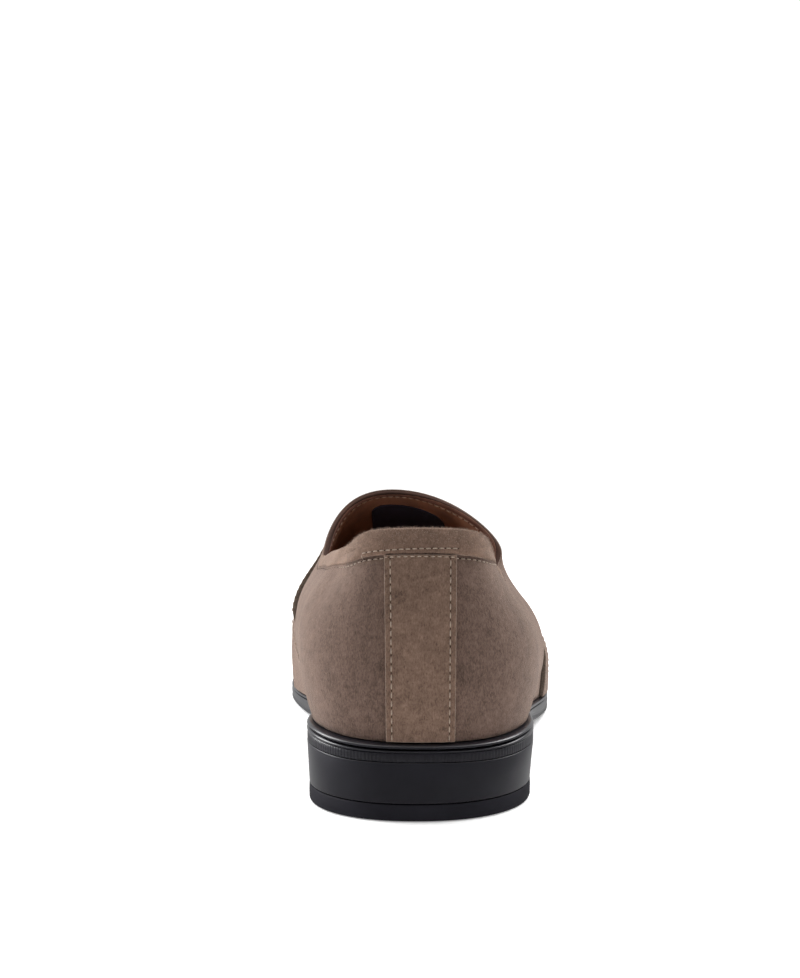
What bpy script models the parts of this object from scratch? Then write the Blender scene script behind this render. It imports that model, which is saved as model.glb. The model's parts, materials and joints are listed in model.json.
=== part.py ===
"""Suede loafer for the right foot, built as separate solids from one last function.

Tables are in millimetres from the heel's back (y), the heel's centre line (x, + is the outer side
of the foot) and the floor (z). Meshes are made in metres, with the toe along +Y.
"""
import math

import bmesh
import bpy
import numpy as np
from mathutils import Vector

MM = 0.001
BACKWARD = (0.0, -1.0, 0.0)
UPWARD = (0.0, 0.0, 1.0)

# Driving sizes
LENGTH = 306.0
WALL = 2.2
LEDGE = 1.7
LEDGE_BACK = 2.6
GAP = 0.35
WELT_THICKNESS = 1.2
WELT_WIDTH = 9.0
INSOLE_THICKNESS = 3.0
INSOLE_INSET = 4.8
HEEL_BREAST = 68.0
LIFT_THICKNESS = 4.7
HEEL_TAPER = 1.0
HEEL_FOOT_BACK = -0.9
HEEL_FOOT_SHIFT = -1.7
OVERLAY_THICKNESS = 1.1
STRAP_THICKNESS = 1.5
COLLAR_DEPTH = 6.8
COLLAR_THICKNESS = 1.2
COLLAR_END = 106.0
STRIP_CENTRE = -0.4
STRIP_HALF_FOOT = 9.6
STRIP_HALF_TOP = 10.1

# Round ends of the plan
HEEL_ROUND = 38.0
HEEL_ROUND_POWER = 2.5
HEEL_FOOT_POWER = 2.2
TOE_ROUND = 62.0
TOE_ROUND_POWER = 2.25

# The throat, and the axes about which the ribs fan at the heel and the toe
THROAT_SIDE = 100.0
THROAT_APEX = 128.0
HEEL_POLE = 42.0
TOE_POLE = 262.0
POLE_SOFTNESS = 14.0
TOE_SLOPE_FROM = 200.0
FLARE_DEPTH = 14.0

# Mesh steps
RIB_STEPS = 160
LOWER_STEPS = 48
UPPER_ROWS = 16
SOLE_STATIONS = 38
SOLE_STATIONS_EVEN = 0.15
HEEL_STATIONS = 14
STRIP_COLUMNS = 9
STRIP_ROWS = 12
STRAP_STEPS_UP = 15
STRAP_STEPS_ACROSS = 5

# Small clearances and roundings
STRIP_FOOT = 0.4
STRAP_FOOT_SHARE = 0.006
HEEL_EDGE = 0.4
LIFT_ROUND = 0.4
INSOLE_ROUND = 0.6

# Finish of each piece: colour, roughness and metallic value
SUEDE = (0.16, 0.11, 0.085)
BLACK = (0.02, 0.02, 0.023)
FINISHES = {
    "outsole": (BLACK, 0.5, 0.0),
    "welt": (BLACK, 0.45, 0.0),
    "heel_block": (BLACK, 0.2, 0.0),
    "top_lift": (BLACK, 0.65, 0.0),
    "insole": ((0.06, 0.028, 0.016), 0.55, 0.0),
    "upper": (SUEDE, 0.95, 0.0),
    "collar": (SUEDE, 0.95, 0.0),
    "back_strip": (SUEDE, 0.95, 0.0),
    "saddle_strap": (SUEDE, 0.95, 0.0),
}

# Outline of the sole: centre line and half width
PLAN_COLUMNS = ("y", "centre", "half")
PLAN = [
    (0, 0.0, 34.7),
    (38, 0.0, 34.7),
    (70, 1.4, 35.2),
    (100, 4.0, 35.5),
    (125, 5.1, 37.7),
    (150, 4.8, 42.8),
    (175, 3.6, 48.9),
    (195, 2.2, 52.2),
    (219, -0.2, 52.1),
    (240, -2.2, 48.3),
    (265, -4.3, 43.8),
    (306, -6.5, 37.0),
]

# Side view of the sole: its top under the upper, and its underside (below zero is cut flat)
SOLE_COLUMNS = ("y", "top", "bottom")
SOLE = [
    (0, 21.2, 16.4),
    (7, 21.9, 16.7),
    (15, 22.8, 17.3),
    (27, 23.2, 17.5),
    (45, 22.3, 16.8),
    (70, 19.8, 14.4),
    (100, 15.0, 9.4),
    (130, 10.9, 4.3),
    (150, 8.9, 1.7),
    (172, 7.3, 0.0),
    (195, 6.6, -0.35),
    (215, 6.8, -0.15),
    (240, 8.4, 1.6),
    (270, 12.3, 5.8),
    (306, 18.3, 12.0),
]

# Flanks of the upper: how far they swell past the feather edge, and how high
FLANK_COLUMNS = ("y", "swell_in", "swell_out", "high_in", "high_out")
FLANK = [
    (0, 2.2, 2.2, 42, 42),
    (12, 2.8, 2.6, 44, 43),
    (25, 3.8, 3.4, 45.5, 42.5),
    (45, 5.4, 4.3, 46.5, 40.5),
    (70, 8.7, 6.2, 46, 38),
    (100, 13.2, 6.0, 44, 35),
    (128, 13.2, 3.3, 43.5, 29.5),
    (150, 9.2, 1.2, 41, 25),
    (175, 3.0, 0.2, 35, 20),
    (195, 2.0, 0.4, 32, 18),
    (219, 1.4, 1.0, 28, 17.5),
    (240, 1.2, 1.4, 26, 18.5),
    (270, 0.9, 1.0, 25, 22),
    (306, 0.8, 0.8, 26, 26),
]

# Ridge of the instep and vamp; behind the throat it is the last's own crest, not a surface
RIDGE_COLUMNS = ("y", "x", "z")
RIDGE = [
    (40, 0.0, 108),
    (70, -2.5, 107),
    (100, -6.5, 102),
    (115, -8.2, 96.9),
    (128, -9.0, 90.5),
    (150, -9.0, 80),
    (180, -7.5, 64),
    (210, -6.0, 51),
    (240, -5.0, 43),
    (262, -5.0, 39),
]

# Topline: how far it leans in from the feather edge, and how high it runs
EDGE_COLUMNS = ("y", "lean_in", "lean_out", "edge_in", "edge_out")
EDGE = [
    (0, 4.9, 4.9, 81.4, 81.4),
    (3, 6.0, 6.2, 80.6, 80.6),
    (8, 8.0, 9.0, 77.8, 78.4),
    (15, 9.5, 11.5, 75.9, 76.4),
    (25, 9.3, 12.4, 74.6, 73.6),
    (40, 7.4, 11.4, 73.4, 70.0),
    (60, 3.9, 9.4, 71.4, 66.4),
    (80, 0.4, 8.8, 69.0, 64.2),
    (100, -3.2, 8.6, 67.4, 63.4),
]

# Fullness of the vamp's arcs: negative draws the shoulder in
VAMP_COLUMNS = ("y", "pinch_in", "pinch_out", "crown_in", "crown_out")
VAMP = [
    (128, -0.115, -0.095, 0.0, -0.02),
    (150, -0.08, -0.11, 0.0, -0.02),
    (175, 0.0, -0.05, 0.0, 0.0),
    (219, 0.01, 0.01, 0.0, 0.0),
    (270, 0.04, 0.04, 0.01, 0.01),
    (306, 0.05, 0.05, 0.02, 0.02),
]

# Outward flare of the free edge: below zero it is drawn in, as at the outer quarter's neck
FLARE_COLUMNS = ("y", "flare_in", "flare_out")
FLARE = [
    (40, 0.0, 0.0),
    (60, 0.0, -0.9),
    (80, 0.0, -1.5),
    (95, 0.1, -1.6),
    (104, 0.4, -1.2),
    (109, 0.9, 0.4),
    (113, 1.3, 2.9),
    (118, 1.7, 5.1),
    (123, 1.3, 4.0),
    (128, 0.0, 0.0),
]

# Saddle strap: its rear and front edges against the share of the way up the rib
STRAP_COLUMNS = ("share", "rear_in", "rear_out", "front")
STRAP = [
    (0.0, 154.0, 157.0, 194.0),
    (0.12, 149.5, 164.0, 191.0),
    (0.25, 144.0, 163.0, 187.0),
    (0.38, 138.5, 153.0, 182.0),
    (0.55, 135.0, 142.5, 177.0),
    (0.8, 139.5, 140.5, 172.5),
    (0.93, 142.0, 142.0, 171.6),
    (1.0, 142.3, 142.3, 171.5),
]

# Outsole edge above its rounded foot: share of its height, and how far it is drawn in from the plan
OUTSOLE_EDGE = [
    (0.26, 0.20),
    (0.62, 0.20),
    (0.68, 0.60),
    (0.82, 0.05),
    (1.0, 0.45),
]
OUTSOLE_FOOT_SHARE = 0.1
OUTSOLE_FOOT_ROUND = 0.35
OUTSOLE_ROUND_HEEL = 0.35
OUTSOLE_ROUND_FOREPART = 2.3
ROUND_CHANGES = (72.0, 130.0)

# Welt edge: depth under its top, and how far it is drawn in from the plan
WELT_EDGE = [(WELT_THICKNESS, 0.45), (0.85, 0.0), (0.4, 0.0), (0.1, 0.5), (0.0, 1.2)]

# Folded collar: distances of its rows below the topline, and the angles of its fold
COLLAR_ROWS = np.array([COLLAR_DEPTH, 4.6, 2.3, 0.0])
COLLAR_FOLD = (45, 90, 135)


def curve_through(knots, values):
    """A natural cubic spline through the values."""
    knots = np.array(knots, float)
    values = np.array(values, float)
    steps = np.diff(knots)
    slopes = np.diff(values) / steps
    count = len(knots)
    system = np.eye(count)
    right = np.zeros(count)
    for i in range(1, count - 1):
        system[i, i - 1:i + 2] = steps[i - 1], 2 * (steps[i - 1] + steps[i]), steps[i]
        right[i] = 6 * (slopes[i] - slopes[i - 1])
    bend = np.linalg.solve(system, right)

    def value(at):
        at = np.clip(at, knots[0], knots[-1])
        i = np.clip(np.searchsorted(knots, at) - 1, 0, count - 2)
        a = (knots[i + 1] - at) / steps[i]
        b = 1 - a
        curve = (a ** 3 - a) * bend[i] + (b ** 3 - b) * bend[i + 1]
        return a * values[i] + b * values[i + 1] + curve * steps[i] ** 2 / 6

    return value


def table_curves(rows, columns):
    """One spline for each column of a table but its first."""
    knots = [row[0] for row in rows]
    return {name: curve_through(knots, [row[i] for row in rows]) for i, name in enumerate(columns) if i}


PLAN_AT = table_curves(PLAN, PLAN_COLUMNS)
SOLE_AT = table_curves(SOLE, SOLE_COLUMNS)
FLANK_AT = table_curves(FLANK, FLANK_COLUMNS)
RIDGE_AT = table_curves(RIDGE, RIDGE_COLUMNS)
EDGE_AT = table_curves(EDGE, EDGE_COLUMNS)
FLARE_AT = table_curves(FLARE, FLARE_COLUMNS)
STRAP_AT = table_curves(STRAP, STRAP_COLUMNS)


def sided(name, side):
    return name + ("_in" if side < 0 else "_out")


def heel_factor(y, power):
    """Rounds the plan off at the heel: 0 at its back, 1 past the round."""
    back = np.clip((HEEL_ROUND - y) / HEEL_ROUND, 0, 1)
    return (1 - back ** power) ** (1 / power)


def end_factor(y):
    """Rounds the plan off at the heel and the toe: 1 between them, 0 at both ends."""
    front = np.clip((y - (LENGTH - TOE_ROUND)) / TOE_ROUND, 0, 1)
    toe = (1 - front ** TOE_ROUND_POWER) ** (1 / TOE_ROUND_POWER)
    return heel_factor(y, HEEL_ROUND_POWER) * toe


def plan_point(side, y, inset=0.0):
    """A point of the sole's outline, or of one drawn in from it by inset."""
    half = (PLAN_AT["half"](y) - inset) * end_factor(y)
    x = PLAN_AT["centre"](y) + side * half
    shrink = inset * LEDGE_BACK / LEDGE
    return x, shrink + y * (LENGTH - 2 * shrink) / LENGTH


def sole_top(y):
    return SOLE_AT["top"](y)


def sole_bottom(y):
    return np.maximum(SOLE_AT["bottom"](y), 0.0)


def soft_clamp(y):
    """Holds the ridge end of the ribs between the heel pole and the toe pole."""
    y = HEEL_POLE + POLE_SOFTNESS * np.log1p(np.exp((y - HEEL_POLE) / POLE_SOFTNESS))
    return TOE_POLE - POLE_SOFTNESS * np.log1p(np.exp((TOE_POLE - y) / POLE_SOFTNESS))


def rib_frame(side, y):
    """Foot, ridge point, plan direction and plan length of the rib that stands at y."""
    foot_x, foot_y = plan_point(side, y, LEDGE)
    foot = np.array([foot_x, foot_y, sole_top(foot_y) + GAP])
    ridge_y = soft_clamp(y)
    ridge = np.array([RIDGE_AT["x"](ridge_y), ridge_y, RIDGE_AT["z"](ridge_y)])
    way = ridge[:2] - foot[:2]
    reach = np.hypot(*way)
    return foot, ridge, way / reach, reach


def pinch_weight(turn):
    return 2 * np.sin(2 * turn) ** 2 * np.cos(turn) ** 2


def crown_weight(turn):
    return 2 * np.sin(2 * turn) ** 2 * np.sin(turn) ** 2


def edge_target(side, y):
    """Where the free edge sits on the rib's unit arc: out and up shares."""
    foot, ridge, way, reach = rib_frame(side, y)
    swell = FLANK_AT[sided("swell", side)](y)
    high = FLANK_AT[sided("high", side)](y)
    lean = EDGE_AT[sided("lean", side)](y)
    edge = EDGE_AT[sided("edge", side)](y)
    out = 1 - (lean + swell) / (reach + swell)
    up = (edge - high) / (ridge[2] - high)
    return out, up


def edge_pinch(side, y):
    """The pinch that takes the rib at y through the free edge."""
    out, up = edge_target(side, y)
    return (np.hypot(out, up) - 1) / pinch_weight(np.arctan2(up, out))


def pinch_curve(side):
    """Pinch along the whole upper: from the topline behind the throat, from the vamp table after it."""
    rows = [(row[0], edge_pinch(side, row[0])) for row in EDGE]
    at = VAMP_COLUMNS.index(sided("pinch", side))
    rows += [(row[0], row[at]) for row in VAMP]
    return curve_through(*zip(*rows))


PINCH_AT = {side: pinch_curve(side) for side in (-1, 1)}
CROWN_AT = table_curves([(0, 0, 0, 0, 0), (90, 0, 0, 0, 0)] + VAMP, VAMP_COLUMNS)


def edge_turn(side, y):
    """Angle on the rib's arc at which the wall ends; a quarter turn is the ridge."""
    if y >= THROAT_APEX:
        return math.pi / 2
    out, up = edge_target(side, min(y, THROAT_SIDE))
    turn = math.atan2(up, out)
    if y <= THROAT_SIDE:
        return turn
    share = math.sqrt(1 - ((y - THROAT_SIDE) / (THROAT_APEX - THROAT_SIDE)) ** 2)
    return math.pi / 2 - (math.pi / 2 - turn) * share


def rib(side, y):
    """One rib of the upper's outside, from the feather edge over the flank to its end."""
    foot, ridge, way, reach = rib_frame(side, y)
    swell = FLANK_AT[sided("swell", side)](y)
    high = FLANK_AT[sided("high", side)](y)
    slope = 0.0
    if y > TOE_SLOPE_FROM:
        slope = (RIDGE_AT["z"](ridge[1] + 0.5) - RIDGE_AT["z"](ridge[1] - 0.5)) * way[1]

    rise = np.linspace(0, 1, LOWER_STEPS, endpoint=False)
    low_inset = -swell * (1 - (1 - rise) ** 2)
    low_z = foot[2] + (high - foot[2]) * rise

    turn = np.linspace(0, edge_turn(side, y), RIB_STEPS)
    crown = CROWN_AT[sided("crown", side)](y)
    radius = 1 + PINCH_AT[side](y) * pinch_weight(turn) + crown * crown_weight(turn)
    out = radius * np.cos(turn)
    up = radius * np.sin(turn)
    high_inset = (reach + swell) * (1 - out) - swell
    high_z = high + (ridge[2] - high) * up - slope * (reach + swell) * out * (1 - out) ** 2

    inset = np.concatenate([low_inset, high_inset])
    z = np.concatenate([low_z, high_z])
    near_edge = np.clip(1 - (z[-1] - z) / FLARE_DEPTH, 0, 1)
    inset = inset - FLARE_AT[sided("flare", side)](y) * near_edge ** 2
    return np.stack([foot[0] + way[0] * inset, foot[1] + way[1] * inset, z], 1)


def rib_length(points):
    return np.linalg.norm(np.diff(points, axis=0), axis=1).sum()


def along_rib(points, distances):
    """Points at the given distances up a rib."""
    gaps = np.linalg.norm(np.diff(points, axis=0), axis=1)
    run = np.concatenate([[0.0], np.cumsum(gaps)])
    return np.stack([np.interp(distances, run, points[:, k]) for k in range(3)], 1)


def upper_stations():
    """Rib places from the heel's back to the toe's tip, closer together where the form turns."""
    heel = 35 * (1 - np.cos(np.linspace(0, math.pi / 2, 9)))
    quarter = np.linspace(35, THROAT_SIDE, 9)[1:]
    throat = THROAT_SIDE + (THROAT_APEX - THROAT_SIDE) * np.sin(np.linspace(0, math.pi / 2, 9)[1:])
    vamp = np.linspace(THROAT_APEX, LENGTH - TOE_ROUND, 12)[1:]
    toe = LENGTH - TOE_ROUND + TOE_ROUND * np.sin(np.linspace(0, math.pi / 2, 10)[1:])
    return np.concatenate([heel, quarter, throat, vamp, toe])


def grid_normals(grid, way):
    """Unit normals of a grid of points, turned so that its middle faces along a direction."""
    normals = np.cross(np.gradient(grid, axis=0), np.gradient(grid, axis=1))
    normals /= np.linalg.norm(normals, axis=2, keepdims=True)
    return normals if normals[len(grid) // 2, 0] @ way > 0 else -normals


def mesh_object(name, points, faces):
    """A mesh object from points in millimetres, welded and facing out."""
    mesh = bpy.data.meshes.new(name)
    mesh.from_pydata([Vector(p) * MM for p in points], [], faces)
    work = bmesh.new()
    work.from_mesh(mesh)
    bmesh.ops.remove_doubles(work, verts=work.verts, dist=0.000001)
    bmesh.ops.recalc_face_normals(work, faces=work.faces)
    work.to_mesh(mesh)
    work.free()
    mesh.shade_smooth()
    mesh.set_sharp_from_angle(angle=math.radians(35))
    mesh.materials.append(finish(name))
    return bpy.data.objects.new(name, mesh)


def finish(name):
    """The material of one piece, from the table of finishes."""
    colour, roughness, metallic = FINISHES[name]
    material = bpy.data.materials.new(name)
    material.use_nodes = True
    shader = material.node_tree.nodes["Principled BSDF"]
    shader.inputs["Base Color"].default_value = (*colour, 1.0)
    shader.inputs["Roughness"].default_value = roughness
    shader.inputs["Metallic"].default_value = metallic
    return material


def grid_faces(rows, columns, start=0):
    """Quads of a grid of rows by columns."""
    faces = []
    for i in range(rows - 1):
        for j in range(columns - 1):
            a = start + i * columns + j
            b = a + columns
            faces.append((a, b, b + 1, a + 1))
    return faces


def face_along(thing, way):
    """Turns a sheet so that its furthest face along a direction faces that way."""
    way = Vector(way)
    furthest = max(thing.data.polygons, key=lambda face: face.center.dot(way))
    if furthest.normal.dot(way) < 0:
        thing.data.flip_normals()


def thicken(thing, thickness, offset):
    """Gives a sheet its thickness: offset -1 grows inward, +1 outward."""
    solid = thing.modifiers.new("thickness", "SOLIDIFY")
    solid.thickness = thickness * MM
    solid.offset = offset
    solid.use_even_offset = True
    solid.use_quality_normals = True
    return thing


def overlay(name, grid, thickness, way):
    """A thick sheet that grows outward from a grid of points which faces along a direction."""
    rows, columns = grid.shape[:2]
    thing = mesh_object(name, grid.reshape(-1, 3), grid_faces(rows, columns))
    face_along(thing, way)
    return thicken(thing, thickness, 1)


def outline(stations, inset, height):
    """A loop round the plan: up the inner side, back down the outer one."""
    inner = [plan_point(-1, y, inset) for y in stations]
    outer = [plan_point(1, y, inset) for y in stations[::-1]]
    return np.array([(x, y, float(height(y))) for x, y in inner + outer])


def cap_faces(count, start):
    """Strips across a loop, from its inner side to its outer one."""
    half = count // 2
    return [(start + i, start + i + 1, start + count - 2 - i, start + count - 1 - i) for i in range(half - 1)]


def lofted(name, loops, ring=False):
    """A solid through loops of equal length: capped at both ends, or closed on itself as a ring."""
    count = len(loops[0])
    points = np.concatenate(loops)
    faces = []
    layers = len(loops)
    for k in range(layers if ring else layers - 1):
        low = k * count
        high = ((k + 1) % layers) * count
        for i in range(count):
            j = (i + 1) % count
            faces.append((low + i, low + j, high + j, high + i))
    if not ring:
        faces += cap_faces(count, 0) + cap_faces(count, (layers - 1) * count)
    return mesh_object(name, points, faces)


def sole_stations():
    """Even steps round the sole: close together at the heel's back and the toe's tip."""
    turn = np.linspace(0, math.pi, SOLE_STATIONS)
    round_steps = (1 - np.cos(turn)) / 2
    return LENGTH * ((1 - SOLE_STATIONS_EVEN) * round_steps + SOLE_STATIONS_EVEN * turn / math.pi)


def heel_stations():
    return HEEL_BREAST * (1 - np.cos(np.linspace(0, math.pi / 2, HEEL_STATIONS)))


def blend(y, limits):
    share = np.clip((y - limits[0]) / (limits[1] - limits[0]), 0, 1)
    return share * share * (3 - 2 * share)


def outsole_round(y):
    """How far the outsole's lower edge is rounded in: little over the heel, more at the forepart."""
    return OUTSOLE_ROUND_HEEL + (OUTSOLE_ROUND_FOREPART - OUTSOLE_ROUND_HEEL) * blend(y, ROUND_CHANGES)


def edge_loop(stations, share, inset):
    """One loop of the outsole's edge, at a share of its height, drawn in by inset at each station."""
    places = [(-1, y) for y in stations] + [(1, y) for y in stations[::-1]]
    loop = []
    for side, station in places:
        x, y = plan_point(side, station, inset(station))
        low = sole_bottom(y)
        loop.append((x, y, low + share * (outsole_top(y) - low)))
    return np.array(loop, float)


def outsole_top(y):
    return sole_top(y) - WELT_THICKNESS - GAP


def make_outsole():
    stations = sole_stations()
    loops = [
        edge_loop(stations, 0.0, outsole_round),
        edge_loop(stations, OUTSOLE_FOOT_SHARE, lambda y: OUTSOLE_FOOT_ROUND * outsole_round(y)),
    ]
    loops += [edge_loop(stations, share, lambda y, inset=inset: inset) for share, inset in OUTSOLE_EDGE]
    return lofted("outsole", loops)


def make_welt():
    stations = sole_stations()
    loops = [outline(stations, inset, lambda y, d=depth: sole_top(y) - d) for depth, inset in WELT_EDGE]
    loops.append(outline(stations, WELT_WIDTH, sole_top))
    loops.append(outline(stations, WELT_WIDTH, lambda y: sole_top(y) - WELT_THICKNESS))
    return lofted("welt", loops, ring=True)


def heel_foot(stations, inset, height):
    """A loop round the heel's foot, drawn in from the sole's outline and rounder than it."""
    places = [(-1, y) for y in stations] + [(1, y) for y in stations[::-1]]
    loop = []
    for side, y in places:
        half = (PLAN_AT["half"](y) - HEEL_TAPER - inset) * heel_factor(y, HEEL_FOOT_POWER)
        shift = HEEL_FOOT_SHIFT * np.clip(1 - y / HEEL_ROUND, 0, 1)
        x = PLAN_AT["centre"](y) + shift + side * half
        loop.append((x, y + HEEL_FOOT_BACK + inset, height))
    return np.array(loop)


def make_heel_block():
    stations = heel_stations()
    low = LIFT_THICKNESS + GAP
    loops = [
        heel_foot(stations, HEEL_EDGE / 2, low),
        heel_foot(stations, 0.0, low + HEEL_EDGE),
        outline(stations, 0.0, lambda y: sole_bottom(y) - GAP - HEEL_EDGE),
        outline(stations, HEEL_EDGE / 2, lambda y: sole_bottom(y) - GAP),
    ]
    return lofted("heel_block", loops)


def make_top_lift():
    stations = heel_stations()
    loops = [
        heel_foot(stations, LIFT_ROUND, 0.0),
        heel_foot(stations, 0.0, LIFT_ROUND),
        heel_foot(stations, 0.0, LIFT_THICKNESS - HEEL_EDGE),
        heel_foot(stations, HEEL_EDGE / 2, LIFT_THICKNESS),
    ]
    return lofted("top_lift", loops)


def make_insole():
    stations = sole_stations()
    loops = [
        outline(stations, INSOLE_INSET, lambda y: sole_top(y) + GAP),
        outline(stations, INSOLE_INSET, lambda y: sole_top(y) + GAP + INSOLE_THICKNESS - INSOLE_ROUND),
        outline(stations, INSOLE_INSET + INSOLE_ROUND, lambda y: sole_top(y) + GAP + INSOLE_THICKNESS),
    ]
    return lofted("insole", loops)


def upper_side(side):
    grid = []
    for y in upper_stations():
        points = rib(side, y)
        grid.append(along_rib(points, np.linspace(0, rib_length(points), UPPER_ROWS)))
    return np.array(grid)


def make_upper():
    """Both sides as one sheet, welded along the heel, the vamp's ridge and the toe."""
    sides = [upper_side(side) for side in (-1, 1)]
    rows, columns = sides[0].shape[:2]
    points = np.concatenate([grid.reshape(-1, 3) for grid in sides])
    faces = grid_faces(rows, columns)
    faces += [face[::-1] for face in grid_faces(rows, columns, rows * columns)]
    thing = mesh_object("upper", points, faces)
    face_along(thing, BACKWARD)
    return thicken(thing, WALL, -1)


def signed_ribs(stations):
    """Ribs from the inner side's last station round the heel to the outer side's last."""
    inner = [rib(-1, y) for y in stations[:0:-1]]
    return inner + [rib(1, y) for y in stations]


def make_collar():
    """Folded binding over the topline: outer leg, fold and inner leg, then its thickness."""
    stations = [y for y in upper_stations() if y < COLLAR_END]
    ribs = signed_ribs(stations)
    legs = np.array([along_rib(points, rib_length(points) - COLLAR_ROWS) for points in ribs])
    normals = grid_normals(legs, BACKWARD)
    rows = range(len(COLLAR_ROWS))
    top = legs[:, -1]
    out = normals[:, -1]
    up = legs[:, -1] - legs[:, -2]
    up = up - out * np.sum(up * out, 1, keepdims=True)
    up = up / np.linalg.norm(up, axis=1, keepdims=True)
    middle = top - out * WALL / 2
    reach = WALL / 2 + GAP
    path = [legs[:, k] + normals[:, k] * GAP for k in rows]
    for angle in COLLAR_FOLD:
        turn = math.radians(angle)
        path.append(middle + reach * (math.cos(turn) * out + math.sin(turn) * up))
    path += [legs[:, k] - normals[:, k] * (WALL + GAP) for k in reversed(rows)]
    return overlay("collar", np.stack(path, 1), COLLAR_THICKNESS, BACKWARD)


def station_at_width(width):
    """Rib whose foot stands the given distance from the heel's centre line."""
    places = np.linspace(0, 9, 900)
    widths = [plan_point(1, y, LEDGE)[0] for y in places]
    return np.interp(width, widths, places)


def strip_grid(columns, rows):
    """Back strip between upright edges: points across it on each row of a fan of ribs."""
    widths = np.linspace(0, 1.5 * STRIP_HALF_TOP, 2 * columns)
    fan = []
    for points in signed_ribs([station_at_width(width) for width in widths]):
        top = rib_length(points) - COLLAR_DEPTH - GAP
        fan.append(along_rib(points, np.linspace(STRIP_FOOT, top, rows)))
    fan = np.array(fan)
    grid = np.empty((columns, rows, 3))
    for j, half in enumerate(np.linspace(STRIP_HALF_FOOT, STRIP_HALF_TOP, rows)):
        x = STRIP_CENTRE + half * np.linspace(-1, 1, columns)
        for k in range(3):
            grid[:, j, k] = np.interp(x, fan[:, j, 0], fan[:, j, k])
    return grid


def make_back_strip():
    """Strip over the heel seam, from the welt up to the collar's lower edge."""
    grid = strip_grid(STRIP_COLUMNS, STRIP_ROWS)
    grid += grid_normals(grid, BACKWARD) * GAP
    return overlay("back_strip", grid, OVERLAY_THICKNESS, BACKWARD)


def make_saddle_strap():
    """Band over the vamp, from the welt on one side over the ridge to the welt on the other."""
    shares = np.linspace(STRAP_FOOT_SHARE, 1, STRAP_STEPS_UP)
    across = np.linspace(0, 1, STRAP_STEPS_ACROSS)
    columns = []
    for side in (-1, 1):
        order = shares if side < 0 else shares[-2::-1]
        for share in order:
            rear = STRAP_AT[sided("rear", side)](share)
            places = rear + across * (STRAP_AT["front"](share) - rear)
            column = []
            for y in places:
                points = rib(side, y)
                column.append(along_rib(points, [share * rib_length(points)])[0])
            columns.append(column)
    grid = np.array(columns)
    grid += grid_normals(grid, UPWARD) * GAP
    return overlay("saddle_strap", grid, STRAP_THICKNESS, UPWARD)


def clear_scene():
    for thing in list(bpy.data.objects):
        bpy.data.objects.remove(thing)


def centre_on_floor(things):
    """Moves the shoe so that the origin is under the middle of its box."""
    bpy.context.view_layer.update()
    graph = bpy.context.evaluated_depsgraph_get()
    corners = []
    for thing in things:
        solid = thing.evaluated_get(graph)
        corners += [thing.matrix_world @ Vector(corner) for corner in solid.bound_box]
    middle_x = (min(c.x for c in corners) + max(c.x for c in corners)) / 2
    middle_y = (min(c.y for c in corners) + max(c.y for c in corners)) / 2
    for thing in things:
        thing.location = (-middle_x, -middle_y, 0.0)


def build():
    clear_scene()
    shoe = bpy.data.collections.new("loafer")
    bpy.context.scene.collection.children.link(shoe)
    makers = (make_outsole, make_welt, make_heel_block, make_top_lift, make_insole, make_upper,
              make_collar, make_back_strip, make_saddle_strap)
    pieces = [make() for make in makers]
    for piece in pieces:
        shoe.objects.link(piece)
    centre_on_floor(pieces)


build()
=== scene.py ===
"""Looks of the suede loafer: dense skins, lining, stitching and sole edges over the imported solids.

Tables are in millimetres from the heel's back (y), the heel's centre line (x, + is the outer side
of the foot) and the floor (z), as in the part. to_row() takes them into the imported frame, in metres.
"""
import json
import math

import bmesh
import bpy
import numpy as np
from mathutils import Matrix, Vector
from mathutils.bvhtree import BVHTree

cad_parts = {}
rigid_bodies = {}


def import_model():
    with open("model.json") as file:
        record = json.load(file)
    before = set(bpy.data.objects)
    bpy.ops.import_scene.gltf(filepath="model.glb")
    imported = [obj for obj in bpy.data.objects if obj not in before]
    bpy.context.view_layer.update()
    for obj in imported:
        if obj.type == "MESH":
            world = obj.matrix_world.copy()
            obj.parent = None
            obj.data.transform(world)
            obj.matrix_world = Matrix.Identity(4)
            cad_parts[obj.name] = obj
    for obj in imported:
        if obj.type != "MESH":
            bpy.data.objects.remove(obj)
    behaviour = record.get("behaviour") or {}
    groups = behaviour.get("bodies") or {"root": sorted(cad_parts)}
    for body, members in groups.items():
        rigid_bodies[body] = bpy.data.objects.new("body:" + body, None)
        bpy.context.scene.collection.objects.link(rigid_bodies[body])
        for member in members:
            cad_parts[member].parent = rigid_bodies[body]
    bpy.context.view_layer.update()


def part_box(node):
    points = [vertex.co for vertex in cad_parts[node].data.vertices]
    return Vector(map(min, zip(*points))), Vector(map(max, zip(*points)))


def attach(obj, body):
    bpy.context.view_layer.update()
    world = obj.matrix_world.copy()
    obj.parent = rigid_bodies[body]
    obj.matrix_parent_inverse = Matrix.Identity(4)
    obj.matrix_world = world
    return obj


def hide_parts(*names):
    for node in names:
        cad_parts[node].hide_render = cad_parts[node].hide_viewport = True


MM = 0.001
BACKWARD = np.array((0.0, -1.0, 0.0))
UPWARD = np.array((0.0, 0.0, 1.0))

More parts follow.
